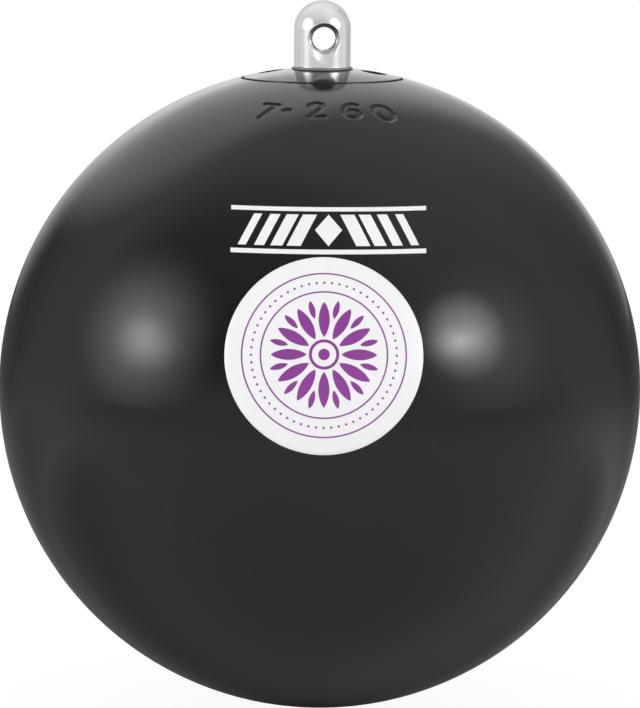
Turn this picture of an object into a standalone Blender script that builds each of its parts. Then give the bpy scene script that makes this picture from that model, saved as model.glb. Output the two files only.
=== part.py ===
"""Head of a throwing hammer: a turned steel ball with a ball-bearing swivel.

The ball stands on the origin and the swivel turns about +Z.  A screwed housing closes the ball's
bore, flush with its surface, and holds a radial and a thrust ball bearing.  The swivel spindle
hangs in them: its round-nosed eye takes the wire, and a castle nut with a split pin holds it from
below.  The front, seen by the camera, faces -Y.  All values are in metres.
"""

import math

import bmesh
import bpy
from mathutils import Matrix

MM = 0.001

# Driving sizes: the ball
HEAD_DIAMETER = 120 * MM
MOUTH_CHAMFER = 0.25 * MM

# Driving sizes: the screwed housing
HOUSING_WALL = 1.9 * MM
CAP_FLANGE_WIDTH = 1.6 * MM
CAP_RIM_HEIGHT = 3.2 * MM
CAP_CHAMFER = 0.25 * MM
HOUSING_SKIRT_OVERLAP = 6 * MM
CEILING_DEPTH = 7.5 * MM
CEILING_RELIEF = 0.5 * MM
SPANNER_HOLE_DIAMETER = 4.2 * MM
SPANNER_HOLE_INSET = 4.7 * MM
SPANNER_HOLE_FLOOR = 1.4 * MM
SPANNER_HOLE_COUNT = 2
SPANNER_HOLE_ANGLE = math.radians(-6)
DRILL_POINT_ANGLE = math.radians(118)

# Driving sizes: the swivel spindle
EYE_DIAMETER = 10.6 * MM
EYE_RISE = 12.5 * MM
COLLAR_OVERHANG = 0.45 * MM
COLLAR_HEIGHT = 0.6 * MM
COLLAR_LIFT = 0.3 * MM
COLLAR_ROUNDING = 0.15 * MM
WIRE_HOLE_DIAMETER = 4.3 * MM
WIRE_HOLE_RISE = 5.6 * MM
WIRE_HOLE_FLARE = 0.65 * MM
WIRE_HOLE_FLARE_DEPTH = 1.2 * MM
WIRE_HOLE_TURN = math.radians(4)
WIRE_RELIEF_DIAMETER = 4.8 * MM
WIRE_RELIEF_DEPTH = 2.4 * MM
WIRE_RELIEF_TILT = math.radians(35)
NECK_DIAMETER = 10 * MM
SHAFT_DIAMETER = 8 * MM
SHAFT_OVERRUN = 1 * MM
SHAFT_CHAMFER = 0.6 * MM

# Driving sizes: both ball bearings
BEARING_DIAMETER = 22 * MM
BEARING_BALL_DIAMETER = 3.97 * MM
RACE_CHAMFER = 0.3 * MM
RADIAL_BALL_COUNT = 7
INNER_GROOVE_DEPTH = 0.6 * MM
OUTER_GROOVE_DEPTH = 0.35 * MM
RIBBON_WIDTH = 1.2 * MM
RIBBON_THICKNESS = 0.35 * MM
SHIELD_STEP = 0.5 * MM
SHIELD_RECESS = 0.7 * MM
SHIELD_THICKNESS = 0.3 * MM
SHIELD_BORE_GAP = 0.3 * MM
SHIELD_CLEARANCE = 0.345 * MM
THRUST_BALL_COUNT = 9
THRUST_GROOVE_DEPTH = 0.865 * MM
THRUST_WASHER_FLOOR = 1.435 * MM
THRUST_CAGE_THICKNESS = 1.4 * MM
THRUST_CAGE_RIM = 0.6 * MM
SPACER_WIDTH = 1.3 * MM
SPACER_HEIGHT = 1 * MM

# Driving sizes: seal, washer, nut and split pin
SEAL_THICKNESS = 1.4 * MM
WASHER_DIAMETER = 16 * MM
WASHER_THICKNESS = 1.6 * MM
NUT_ACROSS_FLATS = 13 * MM
NUT_HEIGHT = 9.5 * MM
NUT_SLOT_WIDTH = 2.5 * MM
NUT_SLOT_DEPTH = 3 * MM
NUT_CORNER_CHAMFER = 0.4 * MM
SPLIT_PIN_DIAMETER = 2 * MM
SPLIT_PIN_LOOP_DIAMETER = 3.2 * MM
SPLIT_PIN_LEG_REACH = 2.6 * MM
SPLIT_PIN_SPREAD = math.radians(35)
NUT_CHAMBER_CLEARANCE = 1 * MM

# Clearances
SEAM_GAP = 0.5 * MM
FIT_GAP = 0.1 * MM
SHAFT_FIT_GAP = 0.05 * MM
RUNNING_GAP = 0.2 * MM
BALL_GAP = 0.08 * MM
POCKET_GAP = 0.12 * MM

# Facets
HEAD_SEGMENTS = 48
HEAD_QUARTER_STEPS = 10
OUTSIDE_SEGMENTS = 32
BEARING_SEGMENTS = 28
GROOVE_STEPS = 5
RIBBON_ARCH_STEPS = 6
BALL_SEGMENTS = 10
BALL_RINGS = 7
BORE_SEGMENTS = 24
SMALL_BORE_SEGMENTS = 12

# Worked-out radii
HEAD_RADIUS = HEAD_DIAMETER / 2
EYE_RADIUS = EYE_DIAMETER / 2
NECK_RADIUS = NECK_DIAMETER / 2
SHAFT_RADIUS = SHAFT_DIAMETER / 2
BEARING_RADIUS = BEARING_DIAMETER / 2
POCKET_RADIUS = BEARING_RADIUS + FIT_GAP
THREAD_RADIUS = POCKET_RADIUS + HOUSING_WALL
CAP_RADIUS = THREAD_RADIUS + CAP_FLANGE_WIDTH
SPANNER_PITCH_RADIUS = CAP_RADIUS - SPANNER_HOLE_INSET
NECK_BORE_RADIUS = NECK_RADIUS + RUNNING_GAP
SEAL_RADIUS = SEAL_THICKNESS / 2

# Worked-out sizes of the bearings: 8 x 22 x 7 mm each, with the balls midway across the ring
BALL_RADIUS = BEARING_BALL_DIAMETER / 2
PITCH_RADIUS = (SHAFT_RADIUS + BEARING_RADIUS) / 2
GROOVE_RADIUS = BALL_RADIUS + BALL_GAP
RACE_BORE_RADIUS = SHAFT_RADIUS + SHAFT_FIT_GAP
INNER_LAND_RADIUS = PITCH_RADIUS - GROOVE_RADIUS + INNER_GROOVE_DEPTH
OUTER_LAND_RADIUS = PITCH_RADIUS + GROOVE_RADIUS - OUTER_GROOVE_DEPTH
SHIELD_SEAT_RADIUS = OUTER_LAND_RADIUS + SHIELD_STEP
CAGE_POCKET_RADIUS = BALL_RADIUS + POCKET_GAP
RIBBON_CROWN = CAGE_POCKET_RADIUS + RIBBON_THICKNESS
SHIELD_FACE = RIBBON_CROWN + SHIELD_CLEARANCE
RADIAL_WIDTH = 2 * (SHIELD_FACE + SHIELD_RECESS)
THRUST_FACE = GROOVE_RADIUS - THRUST_GROOVE_DEPTH
THRUST_HEIGHT = 2 * (GROOVE_RADIUS + THRUST_WASHER_FLOOR)
THRUST_CAGE_HALF_WIDTH = CAGE_POCKET_RADIUS + THRUST_CAGE_RIM

# Worked-out heights, from the top of the ball down
HEAD_TOP = HEAD_DIAMETER
CEILING_Z = HEAD_TOP - CEILING_DEPTH
RADIAL_TOP = CEILING_Z - FIT_GAP
RADIAL_MIDDLE = RADIAL_TOP - RADIAL_WIDTH / 2
RADIAL_BOTTOM = RADIAL_TOP - RADIAL_WIDTH
SPACER_TOP = RADIAL_BOTTOM - FIT_GAP
THRUST_TOP = SPACER_TOP - SPACER_HEIGHT - FIT_GAP
THRUST_MIDDLE = THRUST_TOP - THRUST_HEIGHT / 2
THRUST_BOTTOM = THRUST_TOP - THRUST_HEIGHT
WASHER_TOP = THRUST_BOTTOM - FIT_GAP
NUT_TOP = WASHER_TOP - WASHER_THICKNESS - FIT_GAP
NUT_BOTTOM = NUT_TOP - NUT_HEIGHT
SPLIT_PIN_Z = NUT_BOTTOM + NUT_SLOT_DEPTH / 2
SHAFT_END = NUT_BOTTOM - SHAFT_OVERRUN
SKIRT_BOTTOM = THRUST_TOP - HOUSING_SKIRT_OVERLAP


def dome_height(radius):
    """Height of the ball's surface at this distance from the swivel's axis."""
    return HEAD_RADIUS + math.sqrt(HEAD_RADIUS**2 - radius**2)


CAP_EDGE_Z = dome_height(CAP_RADIUS)
CAP_SEAT_Z = CAP_EDGE_Z - CAP_RIM_HEIGHT
COLLAR_BOTTOM = dome_height(NECK_BORE_RADIUS) + COLLAR_LIFT
SPANNER_HOLE_BOTTOM = CEILING_Z + CEILING_RELIEF + SPANNER_HOLE_FLOOR
SEAL_Z = (CEILING_Z + CEILING_RELIEF + dome_height(NECK_BORE_RADIUS)) / 2
WIRE_HOLE_Z = HEAD_TOP + WIRE_HOLE_RISE

# Worked-out reach of the split pin, from the swivel's axis, which the nut's chamber clears
PIN_WIRE_DIAMETER = SPLIT_PIN_DIAMETER / 2 - FIT_GAP
PIN_LEG_OFFSET = SPLIT_PIN_DIAMETER / 4
PIN_BEND_X = NUT_ACROSS_FLATS / 2 + PIN_WIRE_DIAMETER
PIN_LOOP_RADIUS = SPLIT_PIN_LOOP_DIAMETER / 2 - PIN_WIRE_DIAMETER / 2
PIN_LOOP_REACH = PIN_BEND_X + SPLIT_PIN_LOOP_DIAMETER
PIN_LEG_TIP_REACH = PIN_BEND_X + SPLIT_PIN_LEG_REACH
CHAMBER_RADIUS = max(PIN_LOOP_REACH, PIN_LEG_TIP_REACH) + NUT_CHAMBER_CLEARANCE
CHAMBER_BOTTOM = SHAFT_END - NUT_CHAMBER_CLEARANCE


def clear_scene():
    for thing in list(bpy.data.objects):
        bpy.data.objects.remove(thing, do_unlink=True)


def make_material(name, colour, roughness, metallic=0.0):
    material = bpy.data.materials.new(name)
    material.use_nodes = True
    shader = material.node_tree.nodes["Principled BSDF"]
    shader.inputs["Base Color"].default_value = (*colour, 1.0)
    shader.inputs["Roughness"].default_value = roughness
    shader.inputs["Metallic"].default_value = metallic
    return material


def make_materials():
    return {
        "black_paint": make_material("black_paint", (0.012, 0.012, 0.013), 0.12),
        "chrome": make_material("chrome", (0.80, 0.80, 0.81), 0.08, 1.0),
        "bearing_steel": make_material("bearing_steel", (0.58, 0.59, 0.61), 0.15, 1.0),
        "pressed_steel": make_material("pressed_steel", (0.50, 0.50, 0.51), 0.35, 1.0),
        "brass": make_material("brass", (0.78, 0.60, 0.30), 0.30, 1.0),
        "zinc": make_material("zinc", (0.62, 0.64, 0.66), 0.40, 1.0),
        "rubber": make_material("rubber", (0.020, 0.020, 0.020), 0.75),
    }


def arc(centre, radius, start, end, steps):
    """Points on an arc in the outline's plane, with angles in radians from the +radius direction."""
    points = []
    for step in range(steps + 1):
        angle = start + (end - start) * step / steps
        points.append((centre[0] + radius * math.cos(angle), centre[1] + radius * math.sin(angle)))
    return points


def link(name, data, material=None, parent=None):
    """Put a mesh or curve into the scene, on its parent's axis when it has one."""
    thing = bpy.data.objects.new(name, data)
    bpy.context.collection.objects.link(thing)
    if material:
        data.materials.append(material)
    if parent:
        thing.parent = parent
        thing.matrix_parent_inverse = parent.matrix_world.inverted()
    return thing


def finish_mesh(bm, name, sharp_angle=math.radians(35)):
    """Close the bmesh with its faces outward, and shade its round faces smooth."""
    bmesh.ops.remove_doubles(bm, verts=bm.verts, dist=1e-7)
    bmesh.ops.dissolve_degenerate(bm, edges=bm.edges, dist=1e-7)
    bmesh.ops.recalc_face_normals(bm, faces=bm.faces)
    mesh = bpy.data.meshes.new(name)
    bm.to_mesh(mesh)
    bm.free()
    mesh.shade_smooth()
    mesh.set_sharp_from_angle(angle=sharp_angle)
    return mesh


def turned_mesh(name, outline, segments):
    """Turn an outline of (radius, height) points about Z.

    An outline that starts and ends on the axis is a solid bar, and any other is a closed ring.
    """
    bm = bmesh.new()
    verts = [bm.verts.new((radius, 0.0, height)) for radius, height in outline]
    edges = [bm.edges.new(pair) for pair in zip(verts, verts[1:])]
    if outline[0][0] > 0:
        edges.append(bm.edges.new((verts[-1], verts[0])))
    bmesh.ops.spin(
        bm,
        geom=verts + edges,
        cent=(0, 0, 0),
        axis=(0, 0, 1),
        angle=math.tau,
        steps=segments,
        use_merge=True,
    )
    return finish_mesh(bm, name)


def turned(name, outline, material, parent=None, segments=BEARING_SEGMENTS):
    return link(name, turned_mesh(name, outline, segments), material, parent)


def cut(thing, cutter, operation="DIFFERENCE"):
    """Machine a piece with a hidden cutter."""
    cutter.hide_render = True
    cutter.display_type = "WIRE"
    boolean = thing.modifiers.new(cutter.name, "BOOLEAN")
    boolean.operation = operation
    boolean.solver = "EXACT"
    boolean.object = cutter


def round_cutter(name, outline, matrix, segments=BORE_SEGMENTS):
    """A turned cutter, placed by its matrix."""
    cutter = link(name, turned_mesh(name, outline, segments))
    cutter.matrix_world = matrix
    return cutter


def rod_outline(radius, bottom, top):
    """A plain round rod, standing on the axis."""
    return [(0, bottom), (radius, bottom), (radius, top), (0, top)]


def chamfered_ring(bore, outside, bottom, top, chamfer):
    """Outline of a plain ring with all four edges broken."""
    return [
        (bore + chamfer, bottom),
        (outside - chamfer, bottom),
        (outside, bottom + chamfer),
        (outside, top - chamfer),
        (outside - chamfer, top),
        (bore + chamfer, top),
        (bore, top - chamfer),
        (bore, bottom + chamfer),
    ]


def make_axis(name, height):
    """An empty on the swivel's axis, which carries what turns about it."""
    empty = bpy.data.objects.new(name, None)
    bpy.context.collection.objects.link(empty)
    empty.location = (0, 0, height)
    bpy.context.view_layer.update()
    return empty


def make_head_body(materials):
    """The turned ball, bored from the top for the housing and the nut."""
    mouth = CAP_RADIUS + SEAM_GAP
    thread_bore = THREAD_RADIUS + FIT_GAP
    rim = mouth + MOUTH_CHAMFER
    thread_end = SKIRT_BOTTOM - NUT_CHAMBER_CLEARANCE
    quarter = math.pi / 2
    end = math.acos(rim / HEAD_RADIUS)
    lower = arc((0, HEAD_RADIUS), HEAD_RADIUS, -quarter, 0, HEAD_QUARTER_STEPS)
    upper = arc(
        (0, HEAD_RADIUS), HEAD_RADIUS, 0, end, round(HEAD_QUARTER_STEPS * end / quarter)
    )
    outline = [(0, 0), *lower[1:], *upper[1:]]
    outline += [
        (mouth, dome_height(rim) - MOUTH_CHAMFER),
        (mouth, CAP_SEAT_Z - FIT_GAP),
        (thread_bore, CAP_SEAT_Z - FIT_GAP),
        (thread_bore, thread_end),
        (CHAMBER_RADIUS, thread_end),
        (CHAMBER_RADIUS, CHAMBER_BOTTOM),
        (0, CHAMBER_BOTTOM - CHAMBER_RADIUS / math.tan(DRILL_POINT_ANGLE / 2)),
    ]
    return turned("head_body", outline, materials["black_paint"], segments=HEAD_SEGMENTS)


def make_bearing_housing(materials):
    """The screwed cap: a dome flush with the ball, a neck bore, and a pocket for both bearings."""
    seal_groove_radius = NECK_RADIUS + SEAL_THICKNESS + 2 * FIT_GAP
    seal_groove_top = SEAL_Z + SEAL_RADIUS + FIT_GAP
    seal_groove_bottom = SEAL_Z - SEAL_RADIUS - FIT_GAP
    dome = arc(
        (0, HEAD_RADIUS),
        HEAD_RADIUS,
        math.acos((NECK_BORE_RADIUS + CAP_CHAMFER) / HEAD_RADIUS),
        math.acos((CAP_RADIUS - CAP_CHAMFER) / HEAD_RADIUS),
        4,
    )
    outline = [
        *dome,
        (CAP_RADIUS, CAP_EDGE_Z - CAP_CHAMFER),
        (CAP_RADIUS, CAP_SEAT_Z),
        (THREAD_RADIUS, CAP_SEAT_Z),
        (THREAD_RADIUS, SKIRT_BOTTOM + CAP_CHAMFER),
        (THREAD_RADIUS - CAP_CHAMFER, SKIRT_BOTTOM),
        (POCKET_RADIUS, SKIRT_BOTTOM),
        (POCKET_RADIUS, CEILING_Z),
        (SHIELD_SEAT_RADIUS, CEILING_Z),
        (SHIELD_SEAT_RADIUS, CEILING_Z + CEILING_RELIEF),
        (NECK_BORE_RADIUS, CEILING_Z + CEILING_RELIEF),
        (NECK_BORE_RADIUS, seal_groove_bottom),
        (seal_groove_radius, seal_groove_bottom),
        (seal_groove_radius, seal_groove_top),
        (NECK_BORE_RADIUS, seal_groove_top),
        (NECK_BORE_RADIUS, dome_height(NECK_BORE_RADIUS) - CAP_CHAMFER),
    ]
    housing = turned(
        "bearing_housing", outline, materials["black_paint"], segments=OUTSIDE_SEGMENTS
    )
    drill = rod_outline(SPANNER_HOLE_DIAMETER / 2, SPANNER_HOLE_BOTTOM, HEAD_TOP)
    for hole in range(SPANNER_HOLE_COUNT):
        angle = SPANNER_HOLE_ANGLE + math.tau * hole / SPANNER_HOLE_COUNT
        place = (SPANNER_PITCH_RADIUS * math.cos(angle), SPANNER_PITCH_RADIUS * math.sin(angle), 0)
        name = f"spanner_hole_cutter_{hole + 1}"
        cut(housing, round_cutter(name, drill, Matrix.Translation(place), SMALL_BORE_SEGMENTS))
    return housing


def make_dust_seal(materials):
    """A round rubber ring in the groove of the housing's neck."""
    centre = (NECK_RADIUS + FIT_GAP + SEAL_RADIUS, SEAL_Z)
    outline = arc(centre, SEAL_RADIUS, 0, math.tau, 8)[:-1]
    return turned("dust_seal", outline, materials["rubber"])


def make_swivel_spindle(materials, axis):
    """Round-nosed eye, collar, neck and shaft, turned from one bar and cross-drilled."""
    nose_centre = HEAD_TOP + EYE_RISE - EYE_RADIUS
    collar_radius = EYE_RADIUS + COLLAR_OVERHANG
    collar_top = COLLAR_BOTTOM + COLLAR_HEIGHT
    shoulder = RADIAL_TOP + FIT_GAP
    nose = arc((0, nose_centre), EYE_RADIUS, math.pi / 2, 0, 8)
    nose[0] = (0, nose_centre + EYE_RADIUS)
    outline = [
        *nose,
        (EYE_RADIUS, collar_top),
        (collar_radius - COLLAR_ROUNDING, collar_top),
        (collar_radius, collar_top - COLLAR_ROUNDING),
        (collar_radius, COLLAR_BOTTOM + COLLAR_ROUNDING),
        (collar_radius - COLLAR_ROUNDING, COLLAR_BOTTOM),
        (NECK_RADIUS, COLLAR_BOTTOM),
        (NECK_RADIUS, shoulder),
        (SHAFT_RADIUS, shoulder),
        (SHAFT_RADIUS, SHAFT_END + SHAFT_CHAMFER),
        (SHAFT_RADIUS - SHAFT_CHAMFER, SHAFT_END),
        (0, SHAFT_END),
    ]
    spindle = turned(
        "swivel_spindle", outline, materials["chrome"], axis, segments=OUTSIDE_SEGMENTS
    )
    cut_wire_hole(spindle)
    pin_hole = rod_outline(SPLIT_PIN_DIAMETER / 2, -SHAFT_DIAMETER, SHAFT_DIAMETER)
    along_x = Matrix.Translation((0, 0, SPLIT_PIN_Z)) @ Matrix.Rotation(math.pi / 2, 4, "Y")
    cut(spindle, round_cutter("split_pin_hole_cutter", pin_hole, along_x, SMALL_BORE_SEGMENTS))
    return spindle


def cut_wire_hole(spindle):
    """Drill the eye front to back, flare its mouths, and relieve each mouth downward."""
    bore = WIRE_HOLE_DIAMETER / 2
    land = EYE_RADIUS - WIRE_HOLE_FLARE_DEPTH
    outside = EYE_DIAMETER
    outer_radius = bore + WIRE_HOLE_FLARE * (outside - land) / WIRE_HOLE_FLARE_DEPTH
    hole = [
        (0, -outside),
        (outer_radius, -outside),
        (bore, -land),
        (bore, land),
        (outer_radius, outside),
        (0, outside),
    ]
    place = Matrix.Translation((0, 0, WIRE_HOLE_Z)) @ Matrix.Rotation(WIRE_HOLE_TURN, 4, "Z")
    along_y = Matrix.Rotation(math.pi / 2, 4, "X")
    cut(spindle, round_cutter("wire_hole_cutter", hole, place @ along_y))
    relief_radius = WIRE_RELIEF_DIAMETER / 2
    relief = arc((0, 0), relief_radius, -math.pi / 2, 0, 4)
    relief[0] = (0, -relief_radius)
    relief += [(relief_radius, outside), (0, outside)]
    for side, name in ((-1, "front_relief_cutter"), (1, "rear_relief_cutter")):
        start = Matrix.Translation((0, side * (EYE_RADIUS - WIRE_RELIEF_DEPTH), 0))
        tilt = Matrix.Rotation(-side * (math.pi / 2 + WIRE_RELIEF_TILT), 4, "X")
        cut(spindle, round_cutter(name, relief, place @ start @ tilt))


def make_radial_races(materials, axis):
    """Both races of the upper bearing, each with its ball groove."""
    inner_angle = math.acos((PITCH_RADIUS - INNER_LAND_RADIUS) / GROOVE_RADIUS)
    inner_groove = arc(
        (PITCH_RADIUS, RADIAL_MIDDLE),
        GROOVE_RADIUS,
        math.pi + inner_angle,
        math.pi - inner_angle,
        GROOVE_STEPS,
    )
    inner_outline = [
        (RACE_BORE_RADIUS + RACE_CHAMFER, RADIAL_BOTTOM),
        (INNER_LAND_RADIUS, RADIAL_BOTTOM),
        *inner_groove,
        (INNER_LAND_RADIUS, RADIAL_TOP),
        (RACE_BORE_RADIUS + RACE_CHAMFER, RADIAL_TOP),
        (RACE_BORE_RADIUS, RADIAL_TOP - RACE_CHAMFER),
        (RACE_BORE_RADIUS, RADIAL_BOTTOM + RACE_CHAMFER),
    ]
    turned("radial_inner_race", inner_outline, materials["bearing_steel"], axis)

    seat_height = SHIELD_FACE - FIT_GAP
    outer_angle = math.acos((OUTER_LAND_RADIUS - PITCH_RADIUS) / GROOVE_RADIUS)
    outer_groove = arc(
        (PITCH_RADIUS, RADIAL_MIDDLE), GROOVE_RADIUS, outer_angle, -outer_angle, GROOVE_STEPS
    )
    outer_outline = [
        (SHIELD_SEAT_RADIUS, RADIAL_BOTTOM),
        (BEARING_RADIUS - RACE_CHAMFER, RADIAL_BOTTOM),
        (BEARING_RADIUS, RADIAL_BOTTOM + RACE_CHAMFER),
        (BEARING_RADIUS, RADIAL_TOP - RACE_CHAMFER),
        (BEARING_RADIUS - RACE_CHAMFER, RADIAL_TOP),
        (SHIELD_SEAT_RADIUS, RADIAL_TOP),
        (SHIELD_SEAT_RADIUS, RADIAL_MIDDLE + seat_height),
        (OUTER_LAND_RADIUS, RADIAL_MIDDLE + seat_height),
        *outer_groove,
        (OUTER_LAND_RADIUS, RADIAL_MIDDLE - seat_height),
        (SHIELD_SEAT_RADIUS, RADIAL_MIDDLE - seat_height),
    ]
    turned("radial_outer_race", outer_outline, materials["bearing_steel"])


def make_shield(name, side, materials):
    """A pressed shield in the outer race's seat, with its rim turned outward."""
    outside = SHIELD_SEAT_RADIUS - FIT_GAP
    bore = INNER_LAND_RADIUS + SHIELD_BORE_GAP
    outer_face = SHIELD_FACE + SHIELD_THICKNESS
    rim_face = RADIAL_WIDTH / 2 - FIT_GAP
    rim_radius = outside - SHIELD_THICKNESS
    outline = [
        (bore, SHIELD_FACE),
        (outside, SHIELD_FACE),
        (outside, rim_face),
        (rim_radius, rim_face),
        (rim_radius, outer_face),
        (bore, outer_face),
    ]
    placed = [(radius, RADIAL_MIDDLE + side * height) for radius, height in outline]
    return turned(name, placed, materials["pressed_steel"])


def make_ribbon_half(name, side, materials, axis):
    """One pressed half of the radial bearing's cage: it arches over each ball, flat in between."""
    seat = FIT_GAP / 2
    inside = CAGE_POCKET_RADIUS
    outside = RIBBON_CROWN
    back = seat + RIBBON_THICKNESS
    pitch_angle = math.tau / RADIAL_BALL_COUNT
    flat_end = PITCH_RADIUS * pitch_angle / 2
    inner_start = math.asin(seat / inside)
    outer_start = math.asin(back / outside)
    stations = [((-flat_end, seat), (-flat_end, back))]
    for step in range(RIBBON_ARCH_STEPS + 1):
        share = step / RIBBON_ARCH_STEPS
        lower = math.pi - inner_start - share * (math.pi - 2 * inner_start)
        upper = math.pi - outer_start - share * (math.pi - 2 * outer_start)
        stations.append(
            (
                (inside * math.cos(lower), inside * math.sin(lower)),
                (outside * math.cos(upper), outside * math.sin(upper)),
            )
        )
    bm = bmesh.new()
    rings = []
    for ball in range(RADIAL_BALL_COUNT):
        for lower, upper in stations:
            ring = []
            for radius, (along, height) in (
                (PITCH_RADIUS - RIBBON_WIDTH / 2, lower),
                (PITCH_RADIUS + RIBBON_WIDTH / 2, lower),
                (PITCH_RADIUS + RIBBON_WIDTH / 2, upper),
                (PITCH_RADIUS - RIBBON_WIDTH / 2, upper),
            ):
                angle = ball * pitch_angle + along / PITCH_RADIUS
                z = RADIAL_MIDDLE + side * height
                point = (radius * math.cos(angle), radius * math.sin(angle), z)
                ring.append(bm.verts.new(point))
            rings.append(ring)
    for ring, following in zip(rings, rings[1:] + rings[:1]):
        for corner in range(4):
            after = (corner + 1) % 4
            bm.faces.new((ring[corner], ring[after], following[after], following[corner]))
    return link(name, finish_mesh(bm, name), materials["pressed_steel"], axis)


def make_balls(stem, count, height, materials, cage_axis):
    """The balls of one bearing, each turning about its own centre."""
    for number in range(count):
        angle = math.tau * number / count
        centre = (PITCH_RADIUS * math.cos(angle), PITCH_RADIUS * math.sin(angle), height)
        name = f"{stem}_{number + 1}"
        bm = bmesh.new()
        bmesh.ops.create_uvsphere(
            bm, u_segments=BALL_SEGMENTS, v_segments=BALL_RINGS, radius=BALL_RADIUS
        )
        ball = link(name, finish_mesh(bm, name, math.pi), materials["bearing_steel"])
        ball.location = centre
        ball.parent = cage_axis
        ball.matrix_parent_inverse = cage_axis.matrix_world.inverted()


def make_bearing_spacer(materials):
    """The ring that passes the thrust bearing's load to the upper outer race."""
    bore = BEARING_RADIUS - SPACER_WIDTH
    outline = chamfered_ring(
        bore, BEARING_RADIUS, SPACER_TOP - SPACER_HEIGHT, SPACER_TOP, FIT_GAP
    )
    return turned("bearing_spacer", outline, materials["pressed_steel"])


def make_thrust_washer(name, side, bore, outside, materials, axis=None):
    """A grooved washer of the thrust bearing, above the balls for side 1 and below for side -1."""
    back = THRUST_HEIGHT / 2
    groove_angle = math.acos(THRUST_FACE / GROOVE_RADIUS)
    groove = arc(
        (PITCH_RADIUS, 0),
        GROOVE_RADIUS,
        math.pi / 2 + groove_angle,
        math.pi / 2 - groove_angle,
        GROOVE_STEPS,
    )
    outline = [
        (bore, THRUST_FACE),
        *groove,
        (outside, THRUST_FACE),
        (outside, back - RACE_CHAMFER),
        (outside - RACE_CHAMFER, back),
        (bore + RACE_CHAMFER, back),
        (bore, back - RACE_CHAMFER),
    ]
    placed = [(radius, THRUST_MIDDLE + side * height) for radius, height in outline]
    return turned(name, placed, materials["bearing_steel"], axis)


def make_thrust_cage(materials, axis):
    """A brass ring with a pocket for each ball."""
    half = THRUST_CAGE_THICKNESS / 2
    outline = chamfered_ring(
        PITCH_RADIUS - THRUST_CAGE_HALF_WIDTH,
        PITCH_RADIUS + THRUST_CAGE_HALF_WIDTH,
        THRUST_MIDDLE - half,
        THRUST_MIDDLE + half,
        FIT_GAP,
    )
    cage = turned("thrust_cage", outline, materials["brass"], axis)
    pocket = rod_outline(CAGE_POCKET_RADIUS, -THRUST_CAGE_THICKNESS, THRUST_CAGE_THICKNESS)
    for number in range(THRUST_BALL_COUNT):
        angle = math.tau * number / THRUST_BALL_COUNT
        place = (PITCH_RADIUS * math.cos(angle), PITCH_RADIUS * math.sin(angle), THRUST_MIDDLE)
        name = f"thrust_pocket_cutter_{number + 1}"
        cut(cage, round_cutter(name, pocket, Matrix.Translation(place), SMALL_BORE_SEGMENTS))
    return cage


def make_nut_washer(materials, axis):
    bore = SHAFT_RADIUS + SHAFT_FIT_GAP
    outline = chamfered_ring(
        bore, WASHER_DIAMETER / 2, WASHER_TOP - WASHER_THICKNESS, WASHER_TOP, RACE_CHAMFER
    )
    return turned("nut_washer", outline, materials["zinc"], axis)


def make_castle_nut(materials, axis):
    """A slotted hexagon nut, with its corners turned down and its slots at the lower end."""
    corner = NUT_ACROSS_FLATS / 2 / math.cos(math.pi / 6)
    blank = chamfered_ring(
        SHAFT_RADIUS + SHAFT_FIT_GAP, corner, NUT_BOTTOM, NUT_TOP, NUT_CORNER_CHAMFER
    )
    nut = turned("castle_nut", blank, materials["zinc"], axis, segments=OUTSIDE_SEGMENTS)
    bm = bmesh.new()
    bmesh.ops.create_cone(
        bm,
        cap_ends=True,
        segments=6,
        radius1=corner,
        radius2=corner,
        depth=2 * NUT_HEIGHT,
        matrix=Matrix.Translation((0, 0, NUT_TOP)) @ Matrix.Rotation(math.pi / 6, 4, "Z"),
    )
    cut(nut, link("nut_hexagon_cutter", finish_mesh(bm, "nut_hexagon_cutter")), "INTERSECT")
    for slot in range(3):
        bm = bmesh.new()
        size = (3 * corner, NUT_SLOT_WIDTH, 2 * NUT_SLOT_DEPTH)
        turn = Matrix.Rotation(slot * math.pi / 3, 4, "Z")
        place = Matrix.Translation((0, 0, NUT_BOTTOM)) @ turn @ Matrix.Diagonal((*size, 1))
        bmesh.ops.create_cube(bm, size=1, matrix=place)
        name = f"nut_slot_cutter_{slot + 1}"
        cut(nut, link(name, finish_mesh(bm, name)))
    return nut


def make_split_pin(materials, axis):
    """Two legs side by side from a looped head, spread where they leave the nut."""
    leg = PIN_LEG_OFFSET
    loop_centre = PIN_LOOP_REACH - SPLIT_PIN_LOOP_DIAMETER / 2
    opening = math.asin(leg / PIN_LOOP_RADIUS)
    tip_x = -PIN_BEND_X - SPLIT_PIN_LEG_REACH * math.cos(SPLIT_PIN_SPREAD)
    tip_rise = leg + SPLIT_PIN_LEG_REACH * math.sin(SPLIT_PIN_SPREAD)
    loop = arc(
        (loop_centre, 0), PIN_LOOP_RADIUS, math.pi - opening, -math.pi + opening, 12
    )
    route = [(tip_x, tip_rise), (-PIN_BEND_X, leg), *loop, (-PIN_BEND_X, -leg), (tip_x, -tip_rise)]
    curve = bpy.data.curves.new("split_pin", "CURVE")
    curve.dimensions = "3D"
    curve.bevel_depth = PIN_WIRE_DIAMETER / 2
    curve.bevel_resolution = 2
    curve.use_fill_caps = True
    spline = curve.splines.new("POLY")
    spline.points.add(len(route) - 1)
    for point, (x, rise) in zip(spline.points, route):
        point.co = (x, 0, SPLIT_PIN_Z + rise, 1)
    return link("split_pin", curve, materials["zinc"], axis)


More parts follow.
